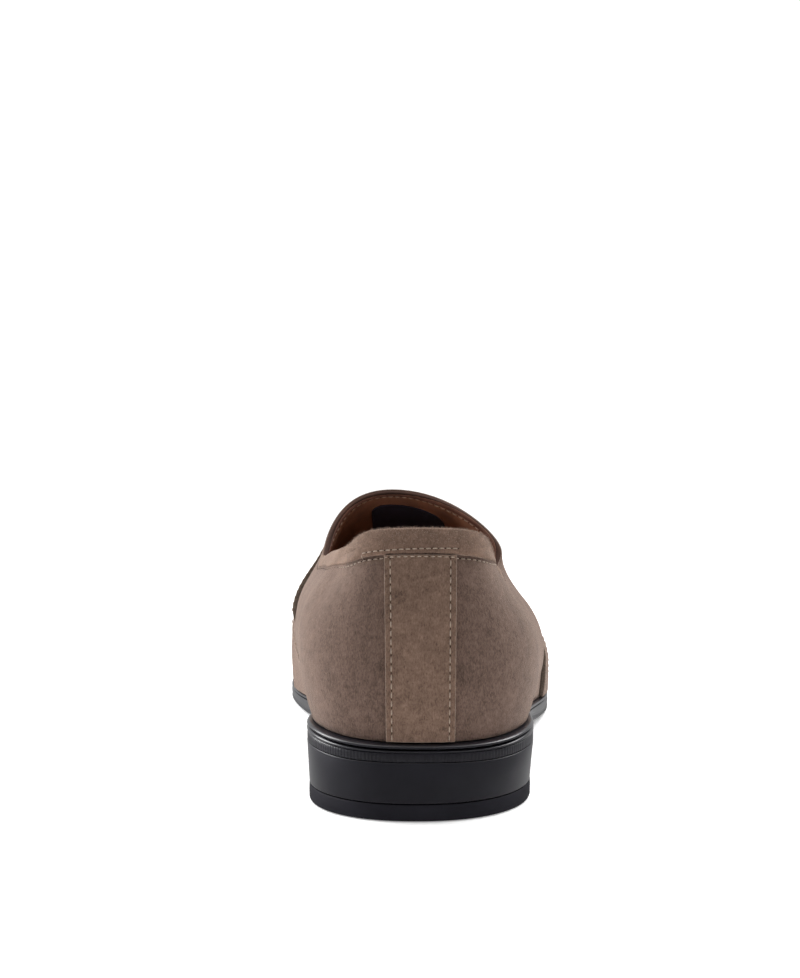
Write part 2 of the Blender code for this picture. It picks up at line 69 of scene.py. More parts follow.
# Driving sizes, as in the part
LENGTH = 306.0
WALL = 2.2
LEDGE = 1.7
LEDGE_BACK = 2.6
GAP = 0.35
WELT_THICKNESS = 1.2
WELT_WIDTH = 9.0
INSOLE_THICKNESS = 3.0
INSOLE_INSET = 4.8
HEEL_BREAST = 68.0
LIFT_THICKNESS = 4.7
HEEL_TAPER = 1.0
HEEL_FOOT_BACK = -0.9
HEEL_FOOT_SHIFT = -1.7
OVERLAY_THICKNESS = 1.1
STRAP_THICKNESS = 1.5
COLLAR_DEPTH = 6.8
COLLAR_END = 106.0
STRIP_CENTRE = -0.4
STRIP_HALF_FOOT = 9.6
STRIP_HALF_TOP = 10.1
STRIP_FOOT = 0.4
STRAP_FOOT_SHARE = 0.006
HEEL_EDGE = 0.4
LIFT_ROUND = 0.4
INSOLE_ROUND = 0.6

# Round ends of the plan
HEEL_ROUND = 38.0
HEEL_ROUND_POWER = 2.5
HEEL_FOOT_POWER = 2.2
TOE_ROUND = 62.0
TOE_ROUND_POWER = 2.25

# The throat, and the axes about which the ribs fan at the heel and the toe
THROAT_SIDE = 100.0
THROAT_APEX = 128.0
HEEL_POLE = 42.0
TOE_POLE = 262.0
POLE_SOFTNESS = 14.0
TOE_SLOPE_FROM = 200.0
FLARE_DEPTH = 14.0

# Layers of the upper's wall
SUEDE_LAYER = 0.5
LAYER_GAP = 0.03

# Strip and strap in the scene: how far they start off the upper, their edges' round and what they gain in
# thickness; the strip is cut from a fan of ribs that is wider than it
OVERLAY_LIFT = 0.08
OVERLAY_EDGE = 0.3
OVERLAY_EXTRA = 0.1
STRAP_EXTRA = 0.25
STRIP_FAN = 1.5
STRIP_STATIONS_END = 9.0
STRIP_SAMPLES = 900

# Meshing: joined points, bevelled corners and steps; UPPER_STEPS is for heel, quarter, throat, vamp, toe
WELD_DISTANCE = 0.000001
BEVEL_ANGLE = math.radians(50)
OUTLINE_SAMPLES = 1500
HEEL_FAN = 35.0
UPPER_STEPS = (25, 30, 30, 50, 30)
COLLAR_STEPS = (48, 60)
THROAT_STEPS = 60
PATCH_STEPS = (60, 40)
STRIP_STEPS = (61, 110)
STRIP_ROW_STEPS = (121, 90)
STRAP_STEPS = (70, 24)
STRAP_ROW_STEPS = 50
HEEL_STEPS = 90
INSOLE_STEPS = 240
RIB_STEPS = 160
LOWER_STEPS = 48
UPPER_ROWS = 56
SOLE_STEPS = 640


def curve_through(knots, values):
    """A natural cubic spline through the values."""
    knots = np.array(knots, float)
    values = np.array(values, float)
    steps = np.diff(knots)
    slopes = np.diff(values) / steps
    count = len(knots)
    system = np.eye(count)
    right = np.zeros(count)
    for i in range(1, count - 1):
        system[i, i - 1:i + 2] = steps[i - 1], 2 * (steps[i - 1] + steps[i]), steps[i]
        right[i] = 6 * (slopes[i] - slopes[i - 1])
    bend = np.linalg.solve(system, right)

    def value(at):
        at = np.clip(at, knots[0], knots[-1])
        i = np.clip(np.searchsorted(knots, at) - 1, 0, count - 2)
        a = (knots[i + 1] - at) / steps[i]
        b = 1 - a
        curve = (a ** 3 - a) * bend[i] + (b ** 3 - b) * bend[i + 1]
        return a * values[i] + b * values[i + 1] + curve * steps[i] ** 2 / 6

    return value


def curves(columns, rows):
    """One spline for each named column of a table, against its first column."""
    knots, *values = np.array(rows, float).T
    return {name: curve_through(knots, value) for name, value in zip(columns.split()[1:], values)}


# Outline of the sole: centre line and half width
PLAN_AT = curves("y centre half", [
    (0, 0.0, 34.7),
    (38, 0.0, 34.7),
    (70, 1.4, 35.2),
    (100, 4.0, 35.5),
    (125, 5.1, 37.7),
    (150, 4.8, 42.8),
    (175, 3.6, 48.9),
    (195, 2.2, 52.2),
    (219, -0.2, 52.1),
    (240, -2.2, 48.3),
    (265, -4.3, 43.8),
    (306, -6.5, 37.0),
])

# Side view of the sole: its top under the upper, and its underside (below zero is cut flat)
SOLE_AT = curves("y top bottom", [
    (0, 21.2, 16.4),
    (7, 21.9, 16.7),
    (15, 22.8, 17.3),
    (27, 23.2, 17.5),
    (45, 22.3, 16.8),
    (70, 19.8, 14.4),
    (100, 15.0, 9.4),
    (130, 10.9, 4.3),
    (150, 8.9, 1.7),
    (172, 7.3, 0.0),
    (195, 6.6, -0.35),
    (215, 6.8, -0.15),
    (240, 8.4, 1.6),
    (270, 12.3, 5.8),
    (306, 18.3, 12.0),
])

# Flanks of the upper: how far they swell past the feather edge, and how high
FLANK_AT = curves("y swell_in swell_out high_in high_out", [
    (0, 2.2, 2.2, 42, 42),
    (12, 2.8, 2.6, 44, 43),
    (25, 3.8, 3.4, 45.5, 42.5),
    (45, 5.4, 4.3, 46.5, 40.5),
    (70, 8.7, 6.2, 46, 38),
    (100, 13.2, 6.0, 44, 35),
    (128, 13.2, 3.3, 43.5, 29.5),
    (150, 9.2, 1.2, 41, 25),
    (175, 3.0, 0.2, 35, 20),
    (195, 2.0, 0.4, 32, 18),
    (219, 1.4, 1.0, 28, 17.5),
    (240, 1.2, 1.4, 26, 18.5),
    (270, 0.9, 1.0, 25, 22),
    (306, 0.8, 0.8, 26, 26),
])

# Ridge of the instep and vamp; behind the throat it is the last's own crest, not a surface
RIDGE_AT = curves("y x z", [
    (40, 0.0, 108),
    (70, -2.5, 107),
    (100, -6.5, 102),
    (115, -8.2, 96.9),
    (128, -9.0, 90.5),
    (150, -9.0, 80),
    (180, -7.5, 64),
    (210, -6.0, 51),
    (240, -5.0, 43),
    (262, -5.0, 39),
])

# Topline: how far it leans in from the feather edge, and how high it runs
EDGE = [
    (0, 4.9, 4.9, 81.4, 81.4),
    (3, 6.0, 6.2, 80.6, 80.6),
    (8, 8.0, 9.0, 77.8, 78.4),
    (15, 9.5, 11.5, 75.9, 76.4),
    (25, 9.3, 12.4, 74.6, 73.6),
    (40, 7.4, 11.4, 73.4, 70.0),
    (60, 3.9, 9.4, 71.4, 66.4),
    (80, 0.4, 8.8, 69.0, 64.2),
    (100, -3.2, 8.6, 67.4, 63.4),
]
EDGE_AT = curves("y lean_in lean_out edge_in edge_out", EDGE)

# Fullness of the vamp's arcs: negative draws the shoulder in
VAMP_COLUMNS = "y pinch_in pinch_out crown_in crown_out"
VAMP = [
    (128, -0.115, -0.095, 0.0, -0.02),
    (150, -0.08, -0.11, 0.0, -0.02),
    (175, 0.0, -0.05, 0.0, 0.0),
    (219, 0.01, 0.01, 0.0, 0.0),
    (270, 0.04, 0.04, 0.01, 0.01),
    (306, 0.05, 0.05, 0.02, 0.02),
]

# Outward flare of the free edge: below zero it is drawn in, as at the outer quarter's neck
FLARE_AT = curves("y flare_in flare_out", [
    (40, 0.0, 0.0),
    (60, 0.0, -0.9),
    (80, 0.0, -1.5),
    (95, 0.1, -1.6),
    (104, 0.4, -1.2),
    (109, 0.9, 0.4),
    (113, 1.3, 2.9),
    (118, 1.7, 5.1),
    (123, 1.3, 4.0),
    (128, 0.0, 0.0),
])

# Saddle strap: its rear and front edges against the share of the way up the rib
STRAP_AT = curves("share rear_in rear_out front", [
    (0.0, 154.0, 157.0, 194.0),
    (0.12, 149.5, 164.0, 191.0),
    (0.25, 144.0, 163.0, 187.0),
    (0.38, 138.5, 153.0, 182.0),
    (0.55, 135.0, 142.5, 177.0),
    (0.8, 139.5, 140.5, 172.5),
    (0.93, 142.0, 142.0, 171.6),
    (1.0, 142.3, 142.3, 171.5),
])

# Outsole edge: level (0 to 1 up the reeded band, 1 to 2 up the bead over it), how far it is drawn in
# from the plan, and how deep it is reeded
OUTSOLE_EDGE = [
    (0.0, 0.35, 0.0),
    (0.05, 0.22, 0.0),
    (0.10, 0.14, 1.0),
    (0.50, 0.12, 1.0),
    (0.92, 0.14, 1.0),
    (0.97, 0.26, 0.0),
    (1.02, 0.44, 0.0),
    (1.10, 0.46, 0.0),
    (1.18, 0.22, 0.0),
    (1.32, 0.04, 0.0),
    (1.55, 0.0, 0.0),
    (1.76, 0.08, 0.0),
    (1.92, 0.34, 0.0),
    (2.0, 0.70, 0.0),
]
REED_BAND = 2.6
REED_BAND_SHARE = 0.78
REED_PITCH = 1.15
REED_DEPTH = 0.11
REED_WAVE = (0.0, 0.5, 1.0, 0.5)
BALL_STATION = 200.0
OUTSOLE_ROUND = 2.0
OUTSOLE_ROUND_LEVEL = 0.5
ROUND_CHANGES = (72.0, 130.0)

# Welt edge: depth under its top, and how far it is drawn in from the plan
WELT_EDGE = [
    (1.20, 0.70),
    (1.12, 0.36),
    (0.95, 0.09),
    (0.70, 0.0),
    (0.45, 0.05),
    (0.25, 0.20),
    (0.10, 0.48),
    (0.02, 0.85),
    (0.0, 1.3),
]

# Loops of the heel block, its lift and the sock, from the bottom up: how far each is drawn in, and its height
# over the block's foot, the outsole's underside, the floor and the sock's underside
BLOCK_FOOT = [(0.3, -0.1), (0.06, 0.0), (0.0, HEEL_EDGE)]
BLOCK_SEAT = [(0.1, -0.35), (0.14, -0.2), (0.5, -0.12)]
LIFT_EDGE = [
    (LIFT_ROUND, 0.0),
    (0.12, 0.12),
    (0.0, LIFT_ROUND),
    (-0.06, LIFT_THICKNESS / 2),
    (0.0, LIFT_THICKNESS - HEEL_EDGE),
    (0.1, LIFT_THICKNESS - 0.1),
    (0.4, LIFT_THICKNESS),
]
SOCK_EDGE = [
    (0.0, 0.0),
    (0.0, INSOLE_THICKNESS - INSOLE_ROUND),
    (0.2, INSOLE_THICKNESS - 0.15),
    (INSOLE_ROUND, INSOLE_THICKNESS),
]

# Collar along the topline: its depth, how far it stands off outside and inside, and its fold's rise
PAD_AT = curves("y depth outside inside rise", [
    (0, 6.8, 1.5, 1.0, 1.4),
    (5, 7.1, 1.35, 0.9, 0.8),
    (10, 6.2, 0.95, 0.7, 0.4),
    (16, 5.5, 0.65, 0.6, 0.3),
    (25, 5.7, 0.6, 0.6, 0.3),
    (38, 5.9, 0.6, 0.6, 0.35),
    (60, 4.8, 0.6, 0.6, 0.5),
    (80, 4.4, 0.55, 0.55, 0.5),
    (92, 3.6, 0.4, 0.5, 0.5),
    (106, 2.0, 0.06, 0.2, 0.2),
])

# Section of the collar: share of its depth below the topline, and share of its padding there
COLLAR_SECTION = [
    (1.0, 0.22),
    (0.985, 0.5),
    (0.95, 0.76),
    (0.90, 0.92),
    (0.84, 0.98),
    (0.76, 1.0),
    (0.64, 1.03),
    (0.48, 1.08),
    (0.3, 1.1),
    (0.14, 1.07),
    (0.0, 1.0),
]
COLLAR_TOP_ANGLES = range(15, 180, 15)
COLLAR_LAP = 2.0
COLLAR_CLEAR = 0.05
SEAM_DEPTH = 0.2
SEAM_WIDTH = 0.55

# Soft troughs (-) and ridges (+) of the suede: side, both ends as station and share up the rib, width, height
CREASES = [
    (1, 34, 0.84, 46, 0.50, 5.0, 0.55),
    (1, 22, 0.86, 26, 0.62, 4.5, -0.35),
    (1, 58, 0.90, 72, 0.60, 6.0, -0.45),
    (-1, 26, 0.88, 34, 0.60, 5.0, 0.40),
    (-1, 15, 0.90, 18, 0.70, 4.0, -0.30),
    (-1, 60, 0.90, 74, 0.55, 7.0, -0.40),
]

# Stitching
STITCH_PITCH = 2.5
STITCH_SHARE = 0.74
STITCH_RADIUS = 0.18
STITCH_INSET = 1.6
STITCH_RINGS = 7
STITCH_SIDES = 6
STITCH_TURNS = np.linspace(0, 2 * math.pi, STITCH_SIDES, endpoint=False)[:, None]
STITCH_RISE = 0.30
STITCH_SINK = 0.20
STITCH_THIN = 0.55
STITCH_ARCH = 0.6
STITCH_LIFT = 0.05
HOLE_RADIUS = 0.27
HOLE_FLAT = 0.8
HOLE_RINGS = [(1.0, 0.04), (0.6, 0.07)]
HOLE_STEP = 0.05
THROAT_INSET = 1.7
THROAT_LIFT = 0.03
COLLAR_PITCH = 1.95
COLLAR_ROW_ABOVE = (0.9, 1.6)
COLLAR_ROW_BELOW = 0.95
COLLAR_ROW_ENDS = 17.0
COLLAR_ROW_LIFT = 0.02
STRIP_STEP = 0.8
BACK_ROW_CENTRE = -2.75
BACK_ROW_HALF = 14.25
BACK_ROW_FADE = 2.0
BACK_END = 25.0
STRAP_ROW_FOOT = 0.02
STRAP_ROW_INSET = 0.055
# Two stray pinholes in the back strip: sideways place and height
PINHOLES = [(-9.4, 57.4), (-8.95, 53.9)]

# Turned edge of the lining: distance from the throat's edge, and height over the lining
TURNED_EDGE = [
    (0.15, 0.05),
    (0.4, 0.3),
    (0.75, 0.36),
    (1.1, 0.3),
    (1.35, 0.02),
    (1.35, -0.05),
    (0.15, -0.05),
]

# Plain patch under the vamp: its stations, and its reach from the ridge on the inner and outer sides
PATCH_STATIONS = (136.0, 160.0)
PATCH_REACH = (-8.5, 22.5)
PATCH_THICKNESS = 0.4
PATCH_CORNER = 4.0
PATCH_EDGE = 0.12

# Strap's rear edge low on the inner side: it is skived flush there
SKIVE_DEPTH = 1.7
SKIVE_SHARES = (0.29, 0.41)
SKIVE_ACROSS = (0.02, 0.35)

# Nap fibres along the collar's fold; they shorten to nothing between two stations
NAP_FADES = (4.0, 28.0)
NAP_COUNT = 4200
NAP_LENGTH = (0.25, 0.85)
NAP_RADIUS = 0.045
NAP_TILT = 0.55
NAP_SEED = 7
NAP_SINK = 0.05
NAP_TAPER = 0.7
NAP_OUTER_ROWS = 5
NAP_INNER_ROWS = 2
# A fibre's faces: points 0 to 2 are round its root, 3 to 5 round its middle, and 6 is its tip
FIBRE_FACES = [(0, 1, 2), (0, 1, 4, 3), (1, 2, 5, 4), (2, 0, 3, 5), (3, 4, 6), (4, 5, 6), (5, 3, 6)]
FIBRE_POINTS = 7

# Camera: distance behind the heel, height, sideways place, focal length and horizon in the photo's pixels
PHOTO_SIZE = (800, 978)
CAMERA_BACK = 420.0
CAMERA_HEIGHT = 104.8
CAMERA_SIDE = -6.25
FOCAL_PIXELS = 1485.0
HORIZON_ROW = 450.5
SENSOR = 36.0

# Floor, glow all round and backdrop
FLOOR_SIZE = 1.7
FLOOR_PLACE = (0, 0.1, -0.0002)
FLOOR_WHITE = (0.95, 0.95, 0.95, 1.0)
FLOOR_GLOW = 0.3
BACKDROP = 1.1
WORLD_BEHIND = 0.06
WORLD_AHEAD = 0.62

# Soft boxes: name, place, size and power; each looks at the heel
LIGHT_AIM = (0.0, -0.06, 0.05)
LIGHTS = [
    ("left_box", (-0.95, 0.3, 0.62), (0.6, 0.9), 16.0),
    ("right_box", (0.88, 0.35, 1.12), (0.6, 0.9), 14.5),
    ("top_box", (0.0, 0.2, 1.5), (1.8, 1.8), 22.0),
]

# Colours, as linear light
TAUPE = (0.124, 0.081, 0.064)
TAUPE_STRIP = (0.158, 0.101, 0.074)
BLOOM = (0.90, 0.74, 0.64)
# Raw cut edge of the back strip, paler than its face; on the strip's rounded edges this pale colour is a
# painted highlight
RAW_EDGE_HIGHLIGHT = (0.36, 0.28, 0.23)
# Nap fibres, paler than the suede: painted sheen along the collar's fold
NAP_FIBRE_SHEEN = (0.34, 0.25, 0.20)
DARK_EDGE = (0.125, 0.097, 0.077)
LINING = (0.28, 0.125, 0.07)
# Turned edge and cut rim of the lining: darker copies of the lining leather, painted shade
SHADED_EDGE_LEATHER = (0.145, 0.064, 0.043)
SHADED_RIM_LEATHER = (0.048, 0.022, 0.015)
PATCH = (0.028, 0.026, 0.044)
SOCK = (0.13, 0.065, 0.038)
THREAD = (0.36, 0.27, 0.205)
THROAT_THREAD = (0.50, 0.35, 0.25)
# Needle holes as flat discs: their dark colour is painted shade of the holes
HOLE_SHADE = (0.052, 0.036, 0.027)
BLACK = (0.0158, 0.0150, 0.0205)
SUEDE_SPREAD = 0.58


def clear_scene():
    for thing in list(bpy.data.objects):
        bpy.data.objects.remove(thing)


clear_scene()
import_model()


# The last: one surface function for every piece of the upper


def sided(name, side):
    return name + ("_in" if side < 0 else "_out")


def heel_factor(y, power):
    """Rounds the plan off at the heel: 0 at its back, 1 past the round."""
    back = np.clip((HEEL_ROUND - y) / HEEL_ROUND, 0, 1)
    return (1 - back ** power) ** (1 / power)


def end_factor(y):
    """Rounds the plan off at the heel and the toe: 1 between them, 0 at both ends."""
    front = np.clip((y - (LENGTH - TOE_ROUND)) / TOE_ROUND, 0, 1)
    toe = (1 - front ** TOE_ROUND_POWER) ** (1 / TOE_ROUND_POWER)
    return heel_factor(y, HEEL_ROUND_POWER) * toe


def plan_point(side, y, inset=0.0):
    """A point of the sole's outline, or of one drawn in from it by inset."""
    half = (PLAN_AT["half"](y) - inset) * end_factor(y)
    x = PLAN_AT["centre"](y) + side * half
    shrink = inset * LEDGE_BACK / LEDGE
    return x, shrink + y * (LENGTH - 2 * shrink) / LENGTH


def sole_top(y):
    return SOLE_AT["top"](y)


def sole_bottom(y):
    return np.maximum(SOLE_AT["bottom"](y), 0.0)


def soft_clamp(y):
    """Holds the ridge end of the ribs between the heel pole and the toe pole."""
    y = HEEL_POLE + POLE_SOFTNESS * np.log1p(np.exp((y - HEEL_POLE) / POLE_SOFTNESS))
    return TOE_POLE - POLE_SOFTNESS * np.log1p(np.exp((TOE_POLE - y) / POLE_SOFTNESS))


def rib_frame(side, y):
    """Foot, ridge point, plan direction and plan length of the rib that stands at y."""
    foot_x, foot_y = plan_point(side, y, LEDGE)
    foot = np.array([foot_x, foot_y, sole_top(foot_y) + GAP])
    ridge_y = soft_clamp(y)
    ridge = np.array([RIDGE_AT["x"](ridge_y), ridge_y, RIDGE_AT["z"](ridge_y)])
    way = ridge[:2] - foot[:2]
    reach = np.hypot(*way)
    return foot, ridge, way / reach, reach


def pinch_weight(turn):
    return 2 * np.sin(2 * turn) ** 2 * np.cos(turn) ** 2


def crown_weight(turn):
    return 2 * np.sin(2 * turn) ** 2 * np.sin(turn) ** 2


def edge_target(side, y):
    """Where the free edge sits on the rib's unit arc: out and up shares."""
    foot, ridge, way, reach = rib_frame(side, y)
    swell = FLANK_AT[sided("swell", side)](y)
    high = FLANK_AT[sided("high", side)](y)
    lean = EDGE_AT[sided("lean", side)](y)
    edge = EDGE_AT[sided("edge", side)](y)
    out = 1 - (lean + swell) / (reach + swell)
    up = (edge - high) / (ridge[2] - high)
    return out, up


def edge_pinch(side, y):
    """The pinch that takes the rib at y through the free edge."""
    out, up = edge_target(side, y)
    return (np.hypot(out, up) - 1) / pinch_weight(np.arctan2(up, out))


def pinch_curve(side):
    """Pinch along the whole upper: from the topline behind the throat, from the vamp table after it."""
    rows = [(row[0], edge_pinch(side, row[0])) for row in EDGE]
    at = VAMP_COLUMNS.split().index(sided("pinch", side))
    rows += [(row[0], row[at]) for row in VAMP]
    return curve_through(*zip(*rows))


PINCH_AT = {side: pinch_curve(side) for side in (-1, 1)}
CROWN_AT = curves(VAMP_COLUMNS, [(0, 0, 0, 0, 0), (90, 0, 0, 0, 0)] + VAMP)


def edge_turn(side, y):
    """Angle on the rib's arc at which the wall ends; a quarter turn is the ridge."""
    if y >= THROAT_APEX:
        return math.pi / 2
    out, up = edge_target(side, min(y, THROAT_SIDE))
    turn = math.atan2(up, out)
    if y <= THROAT_SIDE:
        return turn
    share = math.sqrt(1 - ((y - THROAT_SIDE) / (THROAT_APEX - THROAT_SIDE)) ** 2)
    return math.pi / 2 - (math.pi / 2 - turn) * share


def rib(side, y):
    """One rib of the upper's outside, from the feather edge over the flank to its end."""
    foot, ridge, way, reach = rib_frame(side, y)
    swell = FLANK_AT[sided("swell", side)](y)
    high = FLANK_AT[sided("high", side)](y)
    slope = 0.0
    if y > TOE_SLOPE_FROM:
        slope = (RIDGE_AT["z"](ridge[1] + 0.5) - RIDGE_AT["z"](ridge[1] - 0.5)) * way[1]

    rise = np.linspace(0, 1, LOWER_STEPS, endpoint=False)
    low_inset = -swell * (1 - (1 - rise) ** 2)
    low_z = foot[2] + (high - foot[2]) * rise

    turn = np.linspace(0, edge_turn(side, y), RIB_STEPS)
    crown = CROWN_AT[sided("crown", side)](y)
    radius = 1 + PINCH_AT[side](y) * pinch_weight(turn) + crown * crown_weight(turn)
    out = radius * np.cos(turn)
    up = radius * np.sin(turn)
    high_inset = (reach + swell) * (1 - out) - swell
    high_z = high + (ridge[2] - high) * up - slope * (reach + swell) * out * (1 - out) ** 2

    inset = np.concatenate([low_inset, high_inset])
    z = np.concatenate([low_z, high_z])
    near_edge = np.clip(1 - (z[-1] - z) / FLARE_DEPTH, 0, 1)
    inset = inset - FLARE_AT[sided("flare", side)](y) * near_edge ** 2
    return np.stack([foot[0] + way[0] * inset, foot[1] + way[1] * inset, z], 1)


def run_along(points):
    """Distance of each point along a line of points."""
    return np.concatenate([[0.0], np.cumsum(np.linalg.norm(np.diff(points, axis=0), axis=1))])


def between(at, run, points):
    """Points of a line at places between those of its own points."""
    return np.stack([np.interp(at, run, column) for column in np.transpose(points)], -1)


def unit(vectors):
    return vectors / np.linalg.norm(vectors, axis=-1, keepdims=True)


def rib_length(points):
    return run_along(points)[-1]


def along_rib(points, distances):
    """Points at the given distances up a rib."""
    return between(distances, run_along(points), points)


def place(side, y, share):
    """The point of the outer surface at a station and a share of the way up its rib."""
    points = rib(side, y)
    return along_rib(points, [share * rib_length(points)])[0]


def crease_lines():
    """Both ends, width and height of each crease."""
    lines = []
    for side, from_y, from_share, to_y, to_share, width, height in CREASES:
        lines.append((place(side, from_y, from_share), place(side, to_y, to_share), width, height))
    return lines


CREASE_LINES = crease_lines()


def relief(points):
    """How far the suede stands out of the last at the given points: its soft creases."""
    total = np.zeros(points.shape[:-1])
    for start, end, width, height in CREASE_LINES:
        way = end - start
        share = np.clip((points - start) @ way / (way @ way), 0, 1)
        away = np.linalg.norm(points - start - share[..., None] * way, axis=-1)
        total += height * np.exp(-(away / width) ** 2)
    return total


# Meshes


def row_shift():
    """Moves the tables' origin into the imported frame, from the welt's box."""
    left = plan_point(*sole_loop(SOLE_STEPS))[0].min()
    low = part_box("welt")[0]
    return np.array([low.x / MM - left, low.y / MM, 0.0])


def to_row(points):
    return (np.asarray(points, float) + SHIFT) * MM


def mesh_object(name, points, faces):
    """A smooth mesh object from points in the tables' millimetres, with doubled points joined."""
    mesh = bpy.data.meshes.new(name)
    mesh.from_pydata(to_row(points).tolist(), [], faces)
    work = bmesh.new()
    work.from_mesh(mesh)
    bmesh.ops.remove_doubles(work, verts=work.verts, dist=WELD_DISTANCE)
    bmesh.ops.recalc_face_normals(work, faces=work.faces)
    work.to_mesh(mesh)
    work.free()
    mesh.shade_smooth()
    thing = bpy.data.objects.new(name, mesh)
    bpy.context.scene.collection.objects.link(thing)
    return thing


def finish_piece(thing, slot, *materials, replaces=()):
    """Gives a piece its materials and its body, and hides the nodes that it stands for; slot is not used."""
    for material in materials:
        thing.data.materials.append(material)
    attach(thing, "root")
    if replaces:
        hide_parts(*replaces)
    return thing


def grid_faces(rows, columns, start=0, around=False):
    """Quads of a grid of rows by columns; around also joins its last column to its first."""
    faces = []
    for i in range(rows - 1):
        for j in range(columns if around else columns - 1):
            a = start + i * columns + j
            b = start + i * columns + (j + 1) % columns
            faces.append((a, a + columns, b + columns, b))
    return faces


def face_along(thing, way):
    """Turns a sheet so that its furthest face along a direction faces that way."""
    way = Vector(way)
    furthest = max(thing.data.polygons, key=lambda face: face.center.dot(way))
    if furthest.normal.dot(way) < 0:
        thing.data.flip_normals()


def thicken(thing, thickness, offset, rim=0):
    """Gives a sheet its thickness: offset -1 grows inward, +1 outward. rim is its edge's material."""
    solid = thing.modifiers.new("thickness", "SOLIDIFY")
    solid.thickness = thickness * MM
    solid.offset = offset
    solid.use_even_offset = True
    solid.use_quality_normals = True
    solid.material_offset_rim = rim
    return thing


def sheet(name, grid, way, thickness, offset, edge, segments=2, rim=0):
    """A grid of points as a sheet that faces along a direction, with its thickness and softened edges."""
    thing = mesh_object(name, grid.reshape(-1, 3), grid_faces(*grid.shape[:2]))
    face_along(thing, way)
    thicken(thing, thickness, offset, rim)
    bevel = thing.modifiers.new("soft edge", "BEVEL")
    bevel.width = edge * MM
    bevel.segments = segments
    bevel.limit_method = "ANGLE"
    bevel.angle_limit = BEVEL_ANGLE
    return thing


def grid_normals(grid, way):
    """Unit normals of a grid of points, turned so that its middle faces along a direction."""
    normals = unit(np.cross(np.gradient(grid, axis=0), np.gradient(grid, axis=1)))
    return normals if normals[len(grid) // 2, 0] @ way > 0 else -normals


def creased(grid):
    """A grid round the heel with the suede's creases, and its normals."""
    normals = grid_normals(grid, BACKWARD)
    return grid + normals * relief(grid)[..., None], normals


def sole_loop(steps):
    """Even steps round the sole's outline, as sides and stations: up the inner side, down the outer."""
    stations = LENGTH * (1 - np.cos(np.linspace(0, math.pi, OUTLINE_SAMPLES))) / 2
    places = np.concatenate([stations, stations[::-1]])
    points = np.stack(plan_point(np.repeat([-1, 1], OUTLINE_SAMPLES), places), 1)
    run = run_along(points)
    at = np.linspace(0, run[-1], steps, endpoint=False)
    return np.where(at < run[OUTLINE_SAMPLES - 1], -1, 1), np.interp(at, run, places)


SHIFT = row_shift()


def blend(y, limits):
    share = np.clip((y - limits[0]) / (limits[1] - limits[0]), 0, 1)
    return share * share * (3 - 2 * share)


def loop_points(loop, inset, rise, base=sole_top):
    """A loop of points round the sole, drawn in by inset, at a rise over a base line."""
    x, y = plan_point(*loop, inset)
    return np.stack([x, y, base(y) + rise], 1)


def tube_faces(rows, columns, start=0):
    """Faces of a closed tube: a grid joined round, and a cap at each end."""
    last = start + (rows - 1) * columns
    caps = [tuple(range(first, first + columns)) for first in (start, last)]
    return grid_faces(rows, columns, start, around=True) + caps


def lofted(name, loops):
    """A solid through loops of equal length, capped at both ends."""
    return mesh_object(name, np.concatenate(loops), tube_faces(len(loops), len(loops[0])))


def strip_capped(name, loops):
    """A solid through loops, closed at both ends by strips from the inner side to the outer one."""
    count = len(loops[0])
    faces = grid_faces(len(loops), count, around=True)
    for start in (0, (len(loops) - 1) * count):
        for i in range(count // 2 - 1):
            a = start + i
            b = start + (count - i) % count
            c = start + (count - i - 1) % count
            faces.append((a, a + 1, c, b) if i else (a, a + 1, c))
        middle = count // 2
        faces.append((start + middle - 1, start + middle, start + middle + 1))
    return mesh_object(name, np.concatenate(loops), faces)


def quarter_turn(steps):
    return np.linspace(0, math.pi / 2, steps)


def heel_stations(steps):
    """Rib places from the heel's back to the end of its fan, closer together at the back."""
    return HEEL_FAN * (1 - np.cos(quarter_turn(steps)))


def upper_stations():
    """Rib places from the heel's back to the toe's tip, closer together where the form turns."""
    heel, quarter, throat, vamp, toe = UPPER_STEPS
    toe_from = LENGTH - TOE_ROUND
    return np.concatenate([
        heel_stations(heel),
        np.linspace(HEEL_FAN, THROAT_SIDE, quarter)[1:],
        THROAT_SIDE + (THROAT_APEX - THROAT_SIDE) * np.sin(quarter_turn(throat)[1:]),
        np.linspace(THROAT_APEX, toe_from, vamp)[1:],
        toe_from + TOE_ROUND * np.sin(quarter_turn(toe)[1:]),
    ])


def upper_surface(name):
    """The upper's outer surface as one welded sheet, with its creases."""
    stations = upper_stations()
    grids = []
    for side in (-1, 1):
        ribs = [rib(side, y) for y in stations]
        grids.append([along_rib(points, np.linspace(0, rib_length(points), UPPER_ROWS)) for points in ribs])
    grids = np.array(grids)
    rows, columns = grids.shape[1:3]
    faces = grid_faces(rows, columns)
    faces += [face[::-1] for face in grid_faces(rows, columns, rows * columns)]
    thing = mesh_object(name, grids.reshape(-1, 3), faces)
    face_along(thing, BACKWARD)
    lift = relief(np.array([v.co for v in thing.data.vertices]) / MM - SHIFT)
    for vertex, height in zip(thing.data.vertices, lift):
        vertex.co += vertex.normal * float(height) * MM
    return thing


def push(thing, distance):
    """Moves a sheet along its own normals."""
    normals = [vertex.normal.copy() for vertex in thing.data.vertices]
    for vertex, normal in zip(thing.data.vertices, normals):
        vertex.co += normal * distance * MM


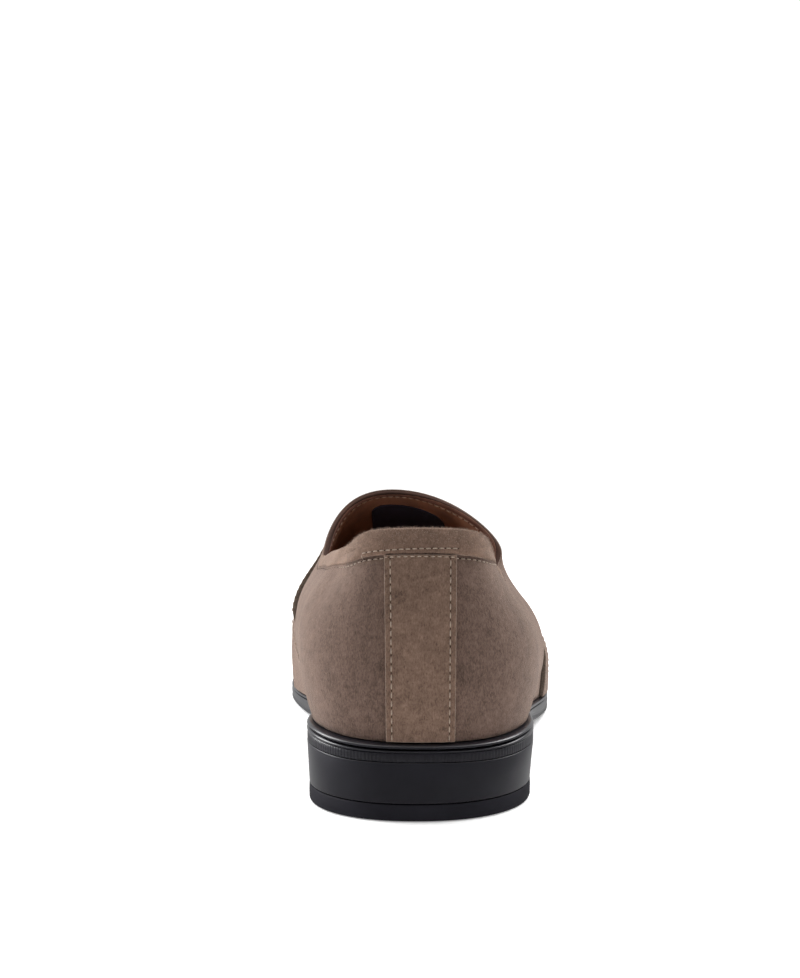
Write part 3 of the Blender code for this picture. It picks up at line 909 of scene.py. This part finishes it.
def make_upper(suede, lining, shaded_rim_leather):
    """Suede outside and lining inside, which together fill the wall; returns the outer surface to snap to."""
    skin = upper_surface("upper_suede")
    data = skin.data
    tree = BVHTree.FromPolygons([v.co for v in data.vertices], [face.vertices for face in data.polygons])
    finish_piece(thicken(skin, SUEDE_LAYER, -1), "suede", suede, replaces=["upper"])
    inner = upper_surface("upper_lining")
    push(inner, -(SUEDE_LAYER + LAYER_GAP))
    # The lining's rim takes the darker rim leather: painted shade
    thicken(inner, WALL - SUEDE_LAYER - LAYER_GAP, -1, rim=1)
    finish_piece(inner, "lining_leather", lining, shaded_rim_leather)
    return tree


def throat_edge():
    """The free edge of the throat, from the collar's inner end over the apex to its outer end."""
    start = COLLAR_END - COLLAR_LAP
    stations = start + (THROAT_APEX - start) * np.sin(quarter_turn(THROAT_STEPS))
    inner = [rib(-1, y)[-1] for y in stations]
    outer = [rib(1, y)[-1] for y in stations[-2::-1]]
    return np.array(inner + outer)


def snapped(tree, point):
    """Nearest point of the outer surface, its normal and the distance to it, in the tables' millimetres."""
    location, normal, _, distance = tree.find_nearest(Vector(to_row(point)))
    return np.array(location) / MM - SHIFT, np.array(normal), distance / MM


def inside_throat(tree, distance, lift):
    """A line on the lining at a distance from the throat's edge, lifted off it, and the ways it faces."""
    edge = throat_edge()
    along = np.gradient(edge, axis=0)
    points, facing = [], []
    for place_at, way in zip(edge, along):
        normal = snapped(tree, place_at)[1]
        inward = distance * unit(np.cross(normal, way))
        choices = [snapped(tree, place_at + turn * inward) for turn in (1, -1)]
        location, normal, _ = min(choices, key=lambda choice: choice[2])
        points.append(location - normal * (WALL + lift))
        facing.append(-normal)
    return np.array(points), np.array(facing)


def make_throat_band(tree, leather):
    """Turned edge of the lining round the throat, out to its stitching; its darker leather is painted shade.
    """
    sections = np.stack([inside_throat(tree, *row)[0] for row in TURNED_EDGE], 1)
    finish_piece(lofted("throat_turned_edge", sections), "lining_leather", leather)


def over_ridge(y, distances):
    """Points of the outer surface at distances from the ridge: below zero on the inner side."""
    points = []
    for distance in distances:
        line = rib(-1 if distance < 0 else 1, y)
        points.append(along_rib(line, [rib_length(line) - abs(distance)])[0])
    return points


def make_patch(cloth):
    """Plain patch on the lining under the vamp."""
    along, across = PATCH_STEPS
    grid = []
    for y in np.linspace(*PATCH_STATIONS, along):
        from_end = min(y - PATCH_STATIONS[0], PATCH_STATIONS[1] - y, PATCH_CORNER)
        cut = PATCH_CORNER - math.sqrt(PATCH_CORNER ** 2 - (PATCH_CORNER - from_end) ** 2)
        grid.append(over_ridge(y, np.linspace(PATCH_REACH[0] + cut, PATCH_REACH[1] - cut, across)))
    grid = np.array(grid)
    grid = grid - grid_normals(grid, UPWARD) * (WALL + LAYER_GAP)
    thing = sheet("inside_patch", grid, UPWARD, PATCH_THICKNESS, -1, PATCH_EDGE)
    finish_piece(thing, "lining_leather", cloth)


def signed_ribs(stations):
    """Ribs from the inner side's last station round the heel to the outer side's last."""
    inner = [rib(-1, y) for y in stations[:0:-1]]
    return inner + [rib(1, y) for y in stations]


def topline_grid(stations, down):
    """Points below the topline on the ribs round the heel, with creases, and their normals.

    down has a row of distances for each rib.
    """
    ribs = signed_ribs(stations)
    grid = np.array([along_rib(points, rib_length(points) - row) for points, row in zip(ribs, down)])
    return creased(grid)


def collar_stations():
    heel, side = COLLAR_STEPS
    return np.concatenate([heel_stations(heel), np.linspace(HEEL_FAN, COLLAR_END, side)[1:]])


def signed_stations(stations):
    """Station of each of signed_ribs."""
    return np.concatenate([stations[:0:-1], stations])


def back_row_above(x):
    """How far the short row at the back runs above the collar's lower edge."""
    share = 0.5 + 0.5 * np.clip((x - BACK_ROW_CENTRE) / BACK_ROW_HALF, -1, 1)
    return COLLAR_ROW_ABOVE[0] + (COLLAR_ROW_ABOVE[1] - COLLAR_ROW_ABOVE[0]) * share


def collar_legs():
    """Rows of the collar's outer and inner faces and of its fold, round the heel."""
    stations = collar_stations()
    at = signed_stations(stations)
    depth, outside, inside, rise = (curve(at)[:, None] for curve in PAD_AT.values())
    shares, pads = np.array(COLLAR_SECTION).T
    legs, normals = topline_grid(stations, depth * shares)
    above = back_row_above(legs[:, :1, 0])
    seam = np.exp(-((depth * (shares - 1) + above) / SEAM_WIDTH) ** 2)
    from_middle = np.abs(legs[:, :1, 0] - BACK_ROW_CENTRE)
    near_back = np.clip((BACK_ROW_HALF - from_middle) / BACK_ROW_FADE + 1, 0, 1) * (at[:, None] < BACK_END)
    stand = outside * pads - SEAM_DEPTH * seam * near_back
    outer = legs + normals * stand[..., None]
    inner = legs - normals * (WALL + inside * pads)[..., None]
    out = normals[:, -1]
    up = legs[:, -1] - legs[:, -2]
    up = unit(up - out * np.sum(up * out, 1, keepdims=True))
    middle = legs[:, -1] - out * WALL / 2
    fold = []
    for angle in COLLAR_TOP_ANGLES:
        turn = math.radians(angle)
        reach = WALL / 2 + (outside if angle < 90 else inside)
        fold.append(middle + math.cos(turn) * reach * out + math.sin(turn) * rise * up)
    return legs, normals, outer, inner, np.stack(fold, 1)


def make_collar(suede):
    """Padded roll over the topline: a closed section carried round the heel."""
    legs, normals, outer, inner, fold = collar_legs()
    close_inside = legs - normals * (WALL + COLLAR_CLEAR)
    close_outside = legs + normals * COLLAR_CLEAR
    sections = np.concatenate([outer, fold, inner[:, ::-1], close_inside, close_outside[:, ::-1]], 1)
    finish_piece(lofted("collar_binding", sections), "suede", suede, replaces=["collar"])


def scattered(fields, count, random):
    """Values of several grids of one size at places spread over them by chance."""
    rows, columns = fields[0].shape[:2]
    i = random.integers(0, rows - 1, count)
    j = random.integers(0, columns - 1, count)
    u, v = random.random((2, count, 1))

    def at(values):
        low = values[i, j] * (1 - u) + values[i + 1, j] * u
        high = values[i, j + 1] * (1 - u) + values[i + 1, j + 1] * u
        return low * (1 - v) + high * v

    return [at(field) for field in fields]


def fibre_points(roots, ways, length, bend):
    """Points of three-sided spikes that taper and bend from their middle."""
    side = unit(np.cross(ways, UPWARD + 0.01 * BACKWARD))
    other = np.cross(ways, side)
    turn = 2 * math.pi / 3 * np.arange(3)
    ring = np.cos(turn)[:, None] * side[:, None] + np.sin(turn)[:, None] * other[:, None]
    base = (roots - ways * NAP_SINK)[:, None] + NAP_RADIUS * ring
    middle = (roots + ways * length / 2)[:, None] + NAP_TAPER * NAP_RADIUS * ring
    tip = (roots + ways * length + bend)[:, None]
    return np.concatenate([base, middle, tip], 1).reshape(-1, 3)


def make_nap(fibre):
    """Short fibres that stand up along the collar's fold; their pale colour is painted sheen."""
    _, _, outer, inner, fold = collar_legs()
    grid = np.concatenate([outer[:, -NAP_OUTER_ROWS:], fold, inner[:, :-NAP_INNER_ROWS - 1:-1]], 1)
    fade = 1 - blend(signed_stations(collar_stations()), NAP_FADES)
    grid = grid[fade > 0]
    fade = np.broadcast_to(fade[fade > 0][:, None, None], (*grid.shape[:2], 1))
    random = np.random.default_rng(NAP_SEED)
    roots, ways, fade = scattered([grid, grid_normals(grid, BACKWARD), fade], NAP_COUNT, random)
    ways = unit(ways + NAP_TILT * random.normal(size=ways.shape))
    length = fade * random.uniform(*NAP_LENGTH, (NAP_COUNT, 1))
    bend = NAP_TILT * random.normal(size=ways.shape) * length / 2
    starts = FIBRE_POINTS * np.arange(NAP_COUNT)
    faces = [tuple(int(start) + corner for corner in face) for start in starts for face in FIBRE_FACES]
    thing = mesh_object("collar_nap", fibre_points(roots, ways, length, bend), faces)
    finish_piece(thing, "suede", fibre)


def station_at_width(width):
    """Rib whose foot stands the given distance from the heel's centre line."""
    places = np.linspace(0, STRIP_STATIONS_END, STRIP_SAMPLES)
    widths = [plan_point(1, y, LEDGE)[0] for y in places]
    return np.interp(width, widths, places)


def strip_grid(columns, rows):
    """Back strip between upright edges: points across it on each row of a fan of ribs, with creases."""
    widths = np.linspace(0, STRIP_FAN * STRIP_HALF_TOP, 2 * columns)
    fan = []
    for points in signed_ribs([station_at_width(width) for width in widths]):
        top = rib_length(points) - COLLAR_DEPTH - GAP
        fan.append(along_rib(points, np.linspace(STRIP_FOOT, top, rows)))
    fan = np.array(fan)
    grid = np.empty((columns, rows, 3))
    for j, half in enumerate(np.linspace(STRIP_HALF_FOOT, STRIP_HALF_TOP, rows)):
        x = STRIP_CENTRE + half * np.linspace(-1, 1, columns)
        grid[:, j] = between(x, fan[:, j, 0], fan[:, j])
    return creased(grid)


def make_back_strip(suede, raw_edge_highlight):
    grid, normals = strip_grid(*STRIP_STEPS)
    across = STRIP_HALF_TOP * np.abs(np.linspace(-1, 1, len(grid)))
    seam = SEAM_DEPTH * np.exp(-((across - (STRIP_HALF_TOP - STITCH_INSET)) / SEAM_WIDTH) ** 2)
    grid = grid + normals * (OVERLAY_LIFT - seam[:, None, None])
    thickness = OVERLAY_THICKNESS + OVERLAY_EXTRA
    thing = sheet("back_strip_suede", grid, BACKWARD, thickness, 1, OVERLAY_EDGE, segments=3, rim=1)
    # The strip's rounded edges take the pale raw edge colour: a painted highlight along them
    thing.modifiers["soft edge"].material = 1
    finish_piece(thing, "suede", suede, raw_edge_highlight, replaces=["back_strip"])


def strap_grid(shares, across):
    """Saddle strap: shares up the inner side, over the ridge and down the outer side."""
    columns = []
    for side in (-1, 1):
        order = shares if side < 0 else shares[-2::-1]
        for share in order:
            rear = STRAP_AT[sided("rear", side)](share)
            places = rear + across * (STRAP_AT["front"](share) - rear)
            columns.append([place(side, y, share) for y in places])
    grid = np.array(columns)
    return grid, grid_normals(grid, UPWARD)


def make_saddle_strap(suede, dark_edge):
    up, over = STRAP_STEPS
    shares = np.linspace(STRAP_FOOT_SHARE, 1, up)
    across = np.linspace(0, 1, over)
    grid, normals = strap_grid(shares, across)
    low = np.concatenate([1 - blend(shares, SKIVE_SHARES), np.zeros(up - 1)])
    sink = SKIVE_DEPTH * low[:, None] * (1 - blend(across, SKIVE_ACROSS))
    grid = grid + normals * (OVERLAY_LIFT - sink)[..., None]
    thing = sheet("saddle_suede", grid, UPWARD, STRAP_THICKNESS + STRAP_EXTRA, 1, OVERLAY_EDGE, rim=1)
    finish_piece(thing, "suede", suede, dark_edge, replaces=["saddle_strap"])


def edge_height(y, level):
    """Height of a level of the outsole's edge."""
    low = sole_bottom(y)
    whole = sole_top(y) - WELT_THICKNESS - GAP - low
    band = np.minimum(REED_BAND, REED_BAND_SHARE * whole)
    if level <= 1:
        return low + level * band
    return low + band + (level - 1) * (whole - band)


def make_outsole(black):
    """Outsole with a reeded band and a bead along its edge, rounded under the forepart."""
    reeds = round((2 * LENGTH + 2 * PLAN_AT["half"](BALL_STATION)) / REED_PITCH)
    loop = sole_loop(reeds * len(REED_WAVE))
    wave = REED_DEPTH * np.tile(REED_WAVE, reeds)
    rounding = OUTSOLE_ROUND * blend(loop[1], ROUND_CHANGES)
    loops = []
    for level, inset, reeded in OUTSOLE_EDGE:
        near_foot = np.clip(1 - level / OUTSOLE_ROUND_LEVEL, 0, 1) ** 2
        drawn_in = inset + rounding * near_foot + reeded * wave
        loops.append(loop_points(loop, drawn_in, 0.0, lambda y: edge_height(y, level)))
    finish_piece(strip_capped("outsole_reeded", loops), "sole_black", black, replaces=["outsole"])


def make_welt(black):
    """Bead along the sole's edge: a section closed on itself, carried all the way round."""
    loop = sole_loop(SOLE_STEPS)
    inside = [(0.0, WELT_WIDTH), (WELT_THICKNESS, WELT_WIDTH)]
    loops = [loop_points(loop, inset, -depth) for depth, inset in WELT_EDGE + inside + WELT_EDGE[:1]]
    faces = grid_faces(len(loops), SOLE_STEPS, around=True)
    bead = mesh_object("welt_bead", np.concatenate(loops), faces)
    finish_piece(bead, "sole_black", black, replaces=["welt"])


def heel_loop():
    """Sides and stations of the heel's D: up the inner side to the breast, and back on the outer one."""
    stations = HEEL_BREAST * (1 - np.cos(quarter_turn(HEEL_STEPS)))
    return np.repeat([-1, 1], [HEEL_STEPS, HEEL_STEPS - 1]), np.concatenate([stations, stations[:0:-1]])


def heel_foot(loop, inset, height):
    """A loop round the heel's foot, drawn in from the sole's outline and rounder than it."""
    side, y = loop
    half = (PLAN_AT["half"](y) - HEEL_TAPER - inset) * heel_factor(y, HEEL_FOOT_POWER)
    shift = HEEL_FOOT_SHIFT * np.clip(1 - y / HEEL_ROUND, 0, 1)
    x = PLAN_AT["centre"](y) + shift + side * half
    return np.stack([x, y + HEEL_FOOT_BACK + inset, np.full(len(y), height)], 1)


def make_heel(gloss, rubber):
    """Polished block that turns from its rounder foot to the seat, and the lift under it."""
    loop = heel_loop()
    low = LIFT_THICKNESS + GAP
    foot = [heel_foot(loop, inset, low + rise) for inset, rise in BLOCK_FOOT]
    seat = [loop_points(loop, inset, rise, sole_bottom) for inset, rise in BLOCK_SEAT]
    block = lofted("heel_polished", [*foot, (foot[-1] + seat[0]) / 2, *seat])
    finish_piece(block, "heel_gloss", gloss, replaces=["heel_block"])
    lift = lofted("top_lift_rubber", [heel_foot(loop, inset, height) for inset, height in LIFT_EDGE])
    finish_piece(lift, "lift_rubber", rubber, replaces=["top_lift"])


def make_insole(leather):
    loop = sole_loop(INSOLE_STEPS)
    loops = [loop_points(loop, INSOLE_INSET + inset, GAP + rise) for inset, rise in SOCK_EDGE]
    finish_piece(strip_capped("sock_lining", loops), "lining_leather", leather, replaces=["insole"])


# Stitching


def resample(points, normals, pitch):
    """Places along a line with the normals there, and the starts of its stitches."""
    run = run_along(points)

    def at(distances):
        return between(distances, run, points), unit(between(distances, run, normals))

    length = STITCH_SHARE * pitch
    return at, np.arange(0.5 * (pitch - length), run[-1] - length, pitch)


def stitch_points(at, start, length):
    """Rings of one stitch: it rises out of its hole, lies on the suede and dips into the next hole."""
    share = np.linspace(0, 1, STITCH_RINGS)
    centres, facing = at(start + share * length)
    along = unit(np.gradient(centres, axis=0))
    across = np.cross(facing, along)
    arch = np.sin(math.pi * share) ** STITCH_ARCH
    centres = centres + facing * (STITCH_RISE * arch - STITCH_SINK)[:, None]
    radius = STITCH_RADIUS * (STITCH_THIN + (1 - STITCH_THIN) * arch)
    side = np.cos(STITCH_TURNS) * across[:, None] * radius[:, None, None]
    rise = np.sin(STITCH_TURNS) * facing[:, None] * radius[:, None, None]
    return (centres[:, None] + side + rise).reshape(-1, 3)


def hole_points(at, distance):
    """A needle hole as a shallow disc on the surface, dark with painted shade."""
    centre, facing = at(np.array([distance - HOLE_STEP, distance + HOLE_STEP]))
    along = unit(centre[1] - centre[0])
    across = np.cross(facing[0], along)
    spread = HOLE_RADIUS * (np.cos(STITCH_TURNS) * along + HOLE_FLAT * np.sin(STITCH_TURNS) * across)
    return np.concatenate([centre.mean(0) + size * spread + facing[0] * lift for size, lift in HOLE_RINGS])


def joined(name, parts, rings):
    """One mesh of many small closed tubes or discs."""
    size = rings * STITCH_SIDES
    faces = [face for k in range(len(parts)) for face in tube_faces(rings, STITCH_SIDES, k * size)]
    return mesh_object(name, np.concatenate(parts), faces)


class Stitching:
    """Collects rows of stitches and their needle holes into two meshes."""

    def __init__(self):
        self.stitches = []
        self.holes = []

    def row(self, points, normals, threaded=True, pitch=STITCH_PITCH):
        """A row of stitches and needle holes along a line, or of needle holes alone."""
        at, starts = resample(points, normals, pitch)
        length = STITCH_SHARE * pitch
        for start in starts:
            if threaded:
                self.stitches.append(stitch_points(at, start, length))
            self.holes.append(hole_points(at, start + 0.5 * (length + pitch)))

    def hole(self, points, normals):
        """One pinhole in the middle of a short line."""
        at, _ = resample(points, normals, STITCH_PITCH)
        self.holes.append(hole_points(at, 0.5 * rib_length(points)))

    def finish(self, name, slot, thread, hole):
        finish_piece(joined(name + "_stitches", self.stitches, STITCH_RINGS), slot, thread)
        finish_piece(joined(name + "_needle_holes", self.holes, len(HOLE_RINGS)), slot, hole)


def strip_rows(sewing):
    """A row inside each edge of the back strip."""
    grid, normals = strip_grid(*STRIP_ROW_STEPS)
    surface = grid + normals * (OVERLAY_THICKNESS + STITCH_LIFT)
    inset = round(0.5 * len(grid) * STITCH_INSET / STRIP_HALF_TOP)
    for column in (inset, -1 - inset):
        sewing.row(surface[column], normals[column])
    for x, z in PINHOLES:
        flat = np.linalg.norm(surface[:, :, ::2] - np.array([x, z]), axis=2)
        i, j = np.unravel_index(flat.argmin(), flat.shape)
        sewing.hole(surface[i, j - 1:j + 2], normals[i, j - 1:j + 2])


def under_collar(stations, at):
    """The line of stitches under the collar, which steps up over the back strip, and the ways it faces."""
    low = PAD_AT["depth"](at) + COLLAR_ROW_BELOW
    grid, normals = topline_grid(stations, low[:, None] + np.array([1.0, 0.0, -1.0]))
    line = grid[:, 1]
    facing = normals[:, 1]
    from_middle = np.abs(line[:, 0] - STRIP_CENTRE)
    over_strip = np.clip(0.5 + (STRIP_HALF_TOP - from_middle) / STRIP_STEP, 0, 1) * (at < BACK_END)
    lift = (OVERLAY_THICKNESS + OVERLAY_EXTRA) * over_strip + COLLAR_ROW_LIFT
    return line + facing * lift[:, None], facing


def back_row(sewing, at, line):
    """The short row on the collar at the back, and the stitches that take it down to the long one."""
    legs, normals, outer = collar_legs()[:3]
    above = PAD_AT["depth"](at)[:, None] * (1 - np.array(COLLAR_SECTION)[:, 0])
    wanted = back_row_above(legs[:, 0, 0])
    row = np.array([between(*each) for each in zip(wanted, above, outer)])
    from_middle = legs[:, 0, 0] - BACK_ROW_CENTRE
    near = (np.abs(from_middle) < BACK_ROW_HALF) & (at < BACK_END)
    sewing.row(row[near] + normals[near, 0] * STITCH_LIFT, normals[near, 0], pitch=COLLAR_PITCH)
    tick = np.argmin(np.abs(from_middle + BACK_ROW_HALF) + (at > BACK_END) * LENGTH)
    down = np.stack([row[tick], outer[tick, 1], line[tick]]) + normals[tick, 0] * STITCH_LIFT
    sewing.row(down, np.repeat(normals[tick, :1], len(down), 0), pitch=COLLAR_PITCH)


def collar_rows(sewing):
    """A long row under the collar, whose thread sinks in at the sides, and a short one on it at the back."""
    stations = collar_stations()
    at = signed_stations(stations)
    line, facing = under_collar(stations, at)
    back = at < COLLAR_ROW_ENDS
    sewing.row(line[back], facing[back], pitch=COLLAR_PITCH)
    for end in (~back & (line[:, 0] < 0), ~back & (line[:, 0] > 0)):
        sewing.row(line[end], facing[end], threaded=False, pitch=COLLAR_PITCH)
    back_row(sewing, at, line)


def strap_rows(sewing):
    """A row inside each edge of the saddle strap."""
    shares = np.linspace(STRAP_ROW_FOOT, 1, STRAP_ROW_STEPS)
    rear = np.array([0.0, 1.0, 2.0]) * STRAP_ROW_INSET
    grid, normals = strap_grid(shares, np.concatenate([rear, 1 - rear[::-1]]))
    surface = grid + normals * (STRAP_THICKNESS + STRAP_EXTRA + STITCH_LIFT)
    for column in (1, 4):
        sewing.row(surface[:, column], normals[:, column])


def make_stitching(tree, thread, throat_thread, hole):
    outside = Stitching()
    strip_rows(outside)
    collar_rows(outside)
    strap_rows(outside)
    outside.finish("suede", "suede", thread, hole)
    inside = Stitching()
    inside.row(*inside_throat(tree, THROAT_INSET, THROAT_LIFT))
    inside.finish("throat", "lining_leather", throat_thread, hole)


# Finishes


def add_node(tree, kind, inputs=(), **settings):
    """A shader node with its settings, its inputs set or joined to other nodes' outputs."""
    made = tree.nodes.new(kind)
    for key, value in settings.items():
        setattr(made, key, value)
    for key, value in dict(inputs).items():
        if isinstance(value, bpy.types.NodeSocket):
            tree.links.new(value, made.inputs[key])
        else:
            made.inputs[key].default_value = value
    return made


class Finish:
    """A node material around one Principled shader."""

    def __init__(self, name, **constants):
        self.material = bpy.data.materials.new(name)
        self.material.use_nodes = True
        self.tree = self.material.node_tree
        self.shader = self.tree.nodes["Principled BSDF"]
        for socket, value in constants.items():
            self.shader.inputs[socket.replace("_", " ")].default_value = value

    def node(self, kind, inputs=(), **settings):
        return add_node(self.tree, kind, inputs, **settings)

    def places(self, stretch=(1, 1, 1)):
        """Object coordinates, stretched along an axis for a directed grain."""
        coordinates = self.node("ShaderNodeTexCoord").outputs["Object"]
        return self.node("ShaderNodeMapping", {"Vector": coordinates, "Scale": stretch}).outputs["Vector"]

    def noise(self, vector, scale, detail=2.0, roughness=0.5, distortion=0.0):
        inputs = {"Vector": vector, "Scale": scale, "Detail": detail, "Roughness": roughness,
                  "Distortion": distortion}
        return self.node("ShaderNodeTexNoise", inputs).outputs["Fac"]

    def tones(self, value, colour, *stops):
        """Base colour from a value, between stops of position and factor on the colour."""
        ramp = self.node("ShaderNodeValToRGB", {"Fac": value})
        elements = ramp.color_ramp.elements
        while len(elements) < len(stops):
            elements.new(0.5)
        for element, (position, factor) in zip(elements, stops):
            element.position = position
            element.color = (*(channel * factor for channel in colour), 1.0)
        self.tree.links.new(ramp.outputs["Color"], self.shader.inputs["Base Color"])

    def weigh(self, parts):
        """A weighted sum of values."""
        total = None
        for value, weight in parts:
            part = self.node("ShaderNodeMath", {0: value, 1: weight}, operation="MULTIPLY").outputs[0]
            if total is not None:
                part = self.node("ShaderNodeMath", {0: total, 1: part}, operation="ADD").outputs[0]
            total = part
        return total

    def bump(self, height, depth, strength=1.0):
        """Bump of a depth in millimetres."""
        made = self.node("ShaderNodeBump", {"Height": height, "Distance": depth * MM, "Strength": strength})
        self.tree.links.new(made.outputs["Normal"], self.shader.inputs["Normal"])

    def rough(self, value, low, high):
        made = self.node("ShaderNodeMapRange", {"Value": value, "To Min": low, "To Max": high})
        self.tree.links.new(made.outputs["Result"], self.shader.inputs["Roughness"])


def suede_finish(name, colour):
    """Short brushed nap: fine fibres, mottling where the nap turns, and a pale bloom at glancing angles."""
    made = Finish(name, Roughness=1.0, Specular_IOR_Level=0.1, Sheen_Weight=0.3, Sheen_Roughness=0.5,
                  Sheen_Tint=(*BLOOM, 1.0))
    places = made.places()
    brushed = made.places((1.0, 1.0, 0.42))
    fibre = made.noise(brushed, 2600, detail=3, roughness=0.7, distortion=0.6)
    tufts = made.noise(places, 520, detail=3, roughness=0.55, distortion=0.4)
    mottle = made.noise(places, 150, detail=4, roughness=0.6)
    strokes = made.noise(brushed, 34, detail=3, roughness=0.5, distortion=0.8)
    total = made.weigh([(fibre, 0.46), (tufts, 0.22), (mottle, 0.17), (strokes, 0.15)])
    made.tones(total, colour, (0.36, 1 - SUEDE_SPREAD), (0.50, 1.0), (0.64, 1 + SUEDE_SPREAD))
    made.bump(made.weigh([(fibre, 0.6), (tufts, 0.4)]), 0.3, 0.9)
    return made.material


def raw_edge_finish(name, colour):
    made = Finish(name, Roughness=0.95, Specular_IOR_Level=0.1)
    fibre = made.noise(made.places(), 1500, detail=3, roughness=0.6)
    made.tones(fibre, colour, (0.35, 0.7), (0.65, 1.2))
    made.bump(fibre, 0.12, 0.7)
    return made.material


def leather_finish(name, colour, roughness, gloss=0.5, grain=1500):
    """Smooth lining leather with fine pores."""
    made = Finish(name, Specular_IOR_Level=gloss)
    places = made.places()
    pores = made.node("ShaderNodeTexVoronoi", {"Vector": places, "Scale": grain}).outputs["Distance"]
    cloud = made.noise(places, 120, detail=4)
    made.tones(cloud, colour, (0.3, 0.75), (0.7, 1.3))
    made.rough(cloud, roughness - 0.06, roughness + 0.1)
    made.bump(made.weigh([(pores, 0.7), (cloud, 0.3)]), 0.05, 0.6)
    return made.material


def black_finish(name, colour, roughness, gloss, texture):
    """Black sole material: moulded or polished, with a faint unevenness."""
    made = Finish(name, Specular_IOR_Level=gloss)
    places = made.places()
    fine = made.noise(places, 900, detail=3)
    cloud = made.noise(places, 60, detail=3)
    made.tones(cloud, colour, (0.3, 0.85), (0.7, 1.2))
    made.rough(cloud, roughness - 0.03, roughness + 0.05)
    made.bump(fine, texture, 0.5)
    return made.material


def thread_finish(name, colour):
    made = Finish(name, Roughness=0.8, Sheen_Weight=0.3)
    strands = made.noise(made.places(), 2600, detail=2)
    made.tones(strands, colour, (0.35, 0.75), (0.65, 1.15))
    made.bump(strands, 0.06, 0.6)
    return made.material


# Stage


def make_floor():
    bpy.ops.mesh.primitive_plane_add(size=FLOOR_SIZE, location=FLOOR_PLACE)
    floor = bpy.context.object
    floor.name = "floor"
    floor.visible_glossy = False
    made = Finish("floor_white", Roughness=0.8, Specular_IOR_Level=0.1, Emission_Strength=FLOOR_GLOW)
    made.shader.inputs["Base Color"].default_value = FLOOR_WHITE
    floor.data.materials.append(made.material)


def make_world():
    """White behind the shoe; as a light it is bright ahead of the camera and dim behind it."""
    world = bpy.data.worlds.new("studio")
    bpy.context.scene.world = world
    world.use_nodes = True
    tree = world.node_tree
    direction = add_node(tree, "ShaderNodeTexCoord").outputs["Generated"]
    ahead = add_node(tree, "ShaderNodeSeparateXYZ", {"Vector": direction}).outputs["Y"]
    glow = add_node(tree, "ShaderNodeMapRange", {
        "Value": ahead,
        "From Min": -1.0,
        "To Min": WORLD_BEHIND,
        "To Max": WORLD_AHEAD,
    }).outputs["Result"]
    seen = add_node(tree, "ShaderNodeLightPath").outputs["Is Camera Ray"]
    level = add_node(tree, "ShaderNodeMapRange", {"Value": seen, "To Min": glow, "To Max": BACKDROP})
    background = tree.nodes["Background"]
    background.inputs["Color"].default_value = (1.0, 1.0, 1.0, 1.0)
    tree.links.new(level.outputs["Result"], background.inputs["Strength"])


def make_lights():
    for name, place_at, size, power in LIGHTS:
        data = bpy.data.lights.new(name, "AREA")
        data.shape = "RECTANGLE"
        data.size, data.size_y = size
        data.energy = power
        light = bpy.data.objects.new(name, data)
        light.location = place_at
        light.rotation_euler = (Vector(LIGHT_AIM) - Vector(place_at)).to_track_quat("-Z", "Y").to_euler()
        bpy.context.scene.collection.objects.link(light)


def make_camera():
    """Level camera behind the heel; its shift puts the horizon on the photo's row."""
    width, height = PHOTO_SIZE
    data = bpy.data.cameras.new("camera")
    data.sensor_width = SENSOR
    data.lens = FOCAL_PIXELS * SENSOR / height
    data.shift_y = (HORIZON_ROW - height / 2) / height
    camera = bpy.data.objects.new("camera", data)
    camera.location = to_row((CAMERA_SIDE, -CAMERA_BACK, CAMERA_HEIGHT))
    camera.rotation_euler = (math.pi / 2, 0, 0)
    bpy.context.scene.collection.objects.link(camera)
    bpy.context.scene.camera = camera


def build():
    suede = suede_finish("suede", TAUPE)
    strip_suede = suede_finish("suede_strip", TAUPE_STRIP)
    raw_edge_highlight = raw_edge_finish("raw_edge_highlight", RAW_EDGE_HIGHLIGHT)
    dark_edge = raw_edge_finish("dark_edge", DARK_EDGE)
    lining = leather_finish("lining_leather", LINING, roughness=0.45)
    shaded_edge_leather = leather_finish("shaded_edge_leather", SHADED_EDGE_LEATHER, roughness=0.6, gloss=0.2)
    shaded_rim_leather = leather_finish("shaded_rim_leather", SHADED_RIM_LEATHER, roughness=0.7, gloss=0.1)
    cloth = leather_finish("patch_cloth", PATCH, roughness=0.7, grain=2400)
    sock = leather_finish("sock_leather", SOCK, roughness=0.5, grain=1300)
    sole = black_finish("sole_satin", BLACK, roughness=0.29, gloss=0.7, texture=0.012)
    gloss = black_finish("heel_polish", BLACK, roughness=0.33, gloss=0.4, texture=0.005)
    rubber = black_finish("lift_rubber", BLACK, roughness=0.7, gloss=0.12, texture=0.03)
    thread = thread_finish("thread", THREAD)
    throat_thread = thread_finish("throat_thread", THROAT_THREAD)
    # Pale fibre colour: painted sheen
    nap = raw_edge_finish("nap_fibre_sheen", NAP_FIBRE_SHEEN)
    # Dark disc colour: painted shade of the needle holes
    hole = raw_edge_finish("needle_hole_shade", HOLE_SHADE)
    tree = make_upper(suede, lining, shaded_rim_leather)
    make_throat_band(tree, shaded_edge_leather)
    make_patch(cloth)
    make_collar(strip_suede)
    make_nap(nap)
    make_back_strip(strip_suede, raw_edge_highlight)
    make_saddle_strap(suede, dark_edge)
    make_outsole(sole)
    make_welt(sole)
    make_heel(gloss, rubber)
    make_insole(sock)
    make_stitching(tree, thread, throat_thread, hole)


build()
make_floor()
make_world()
make_lights()
make_camera()
bpy.context.scene.view_settings.view_transform = "Standard"
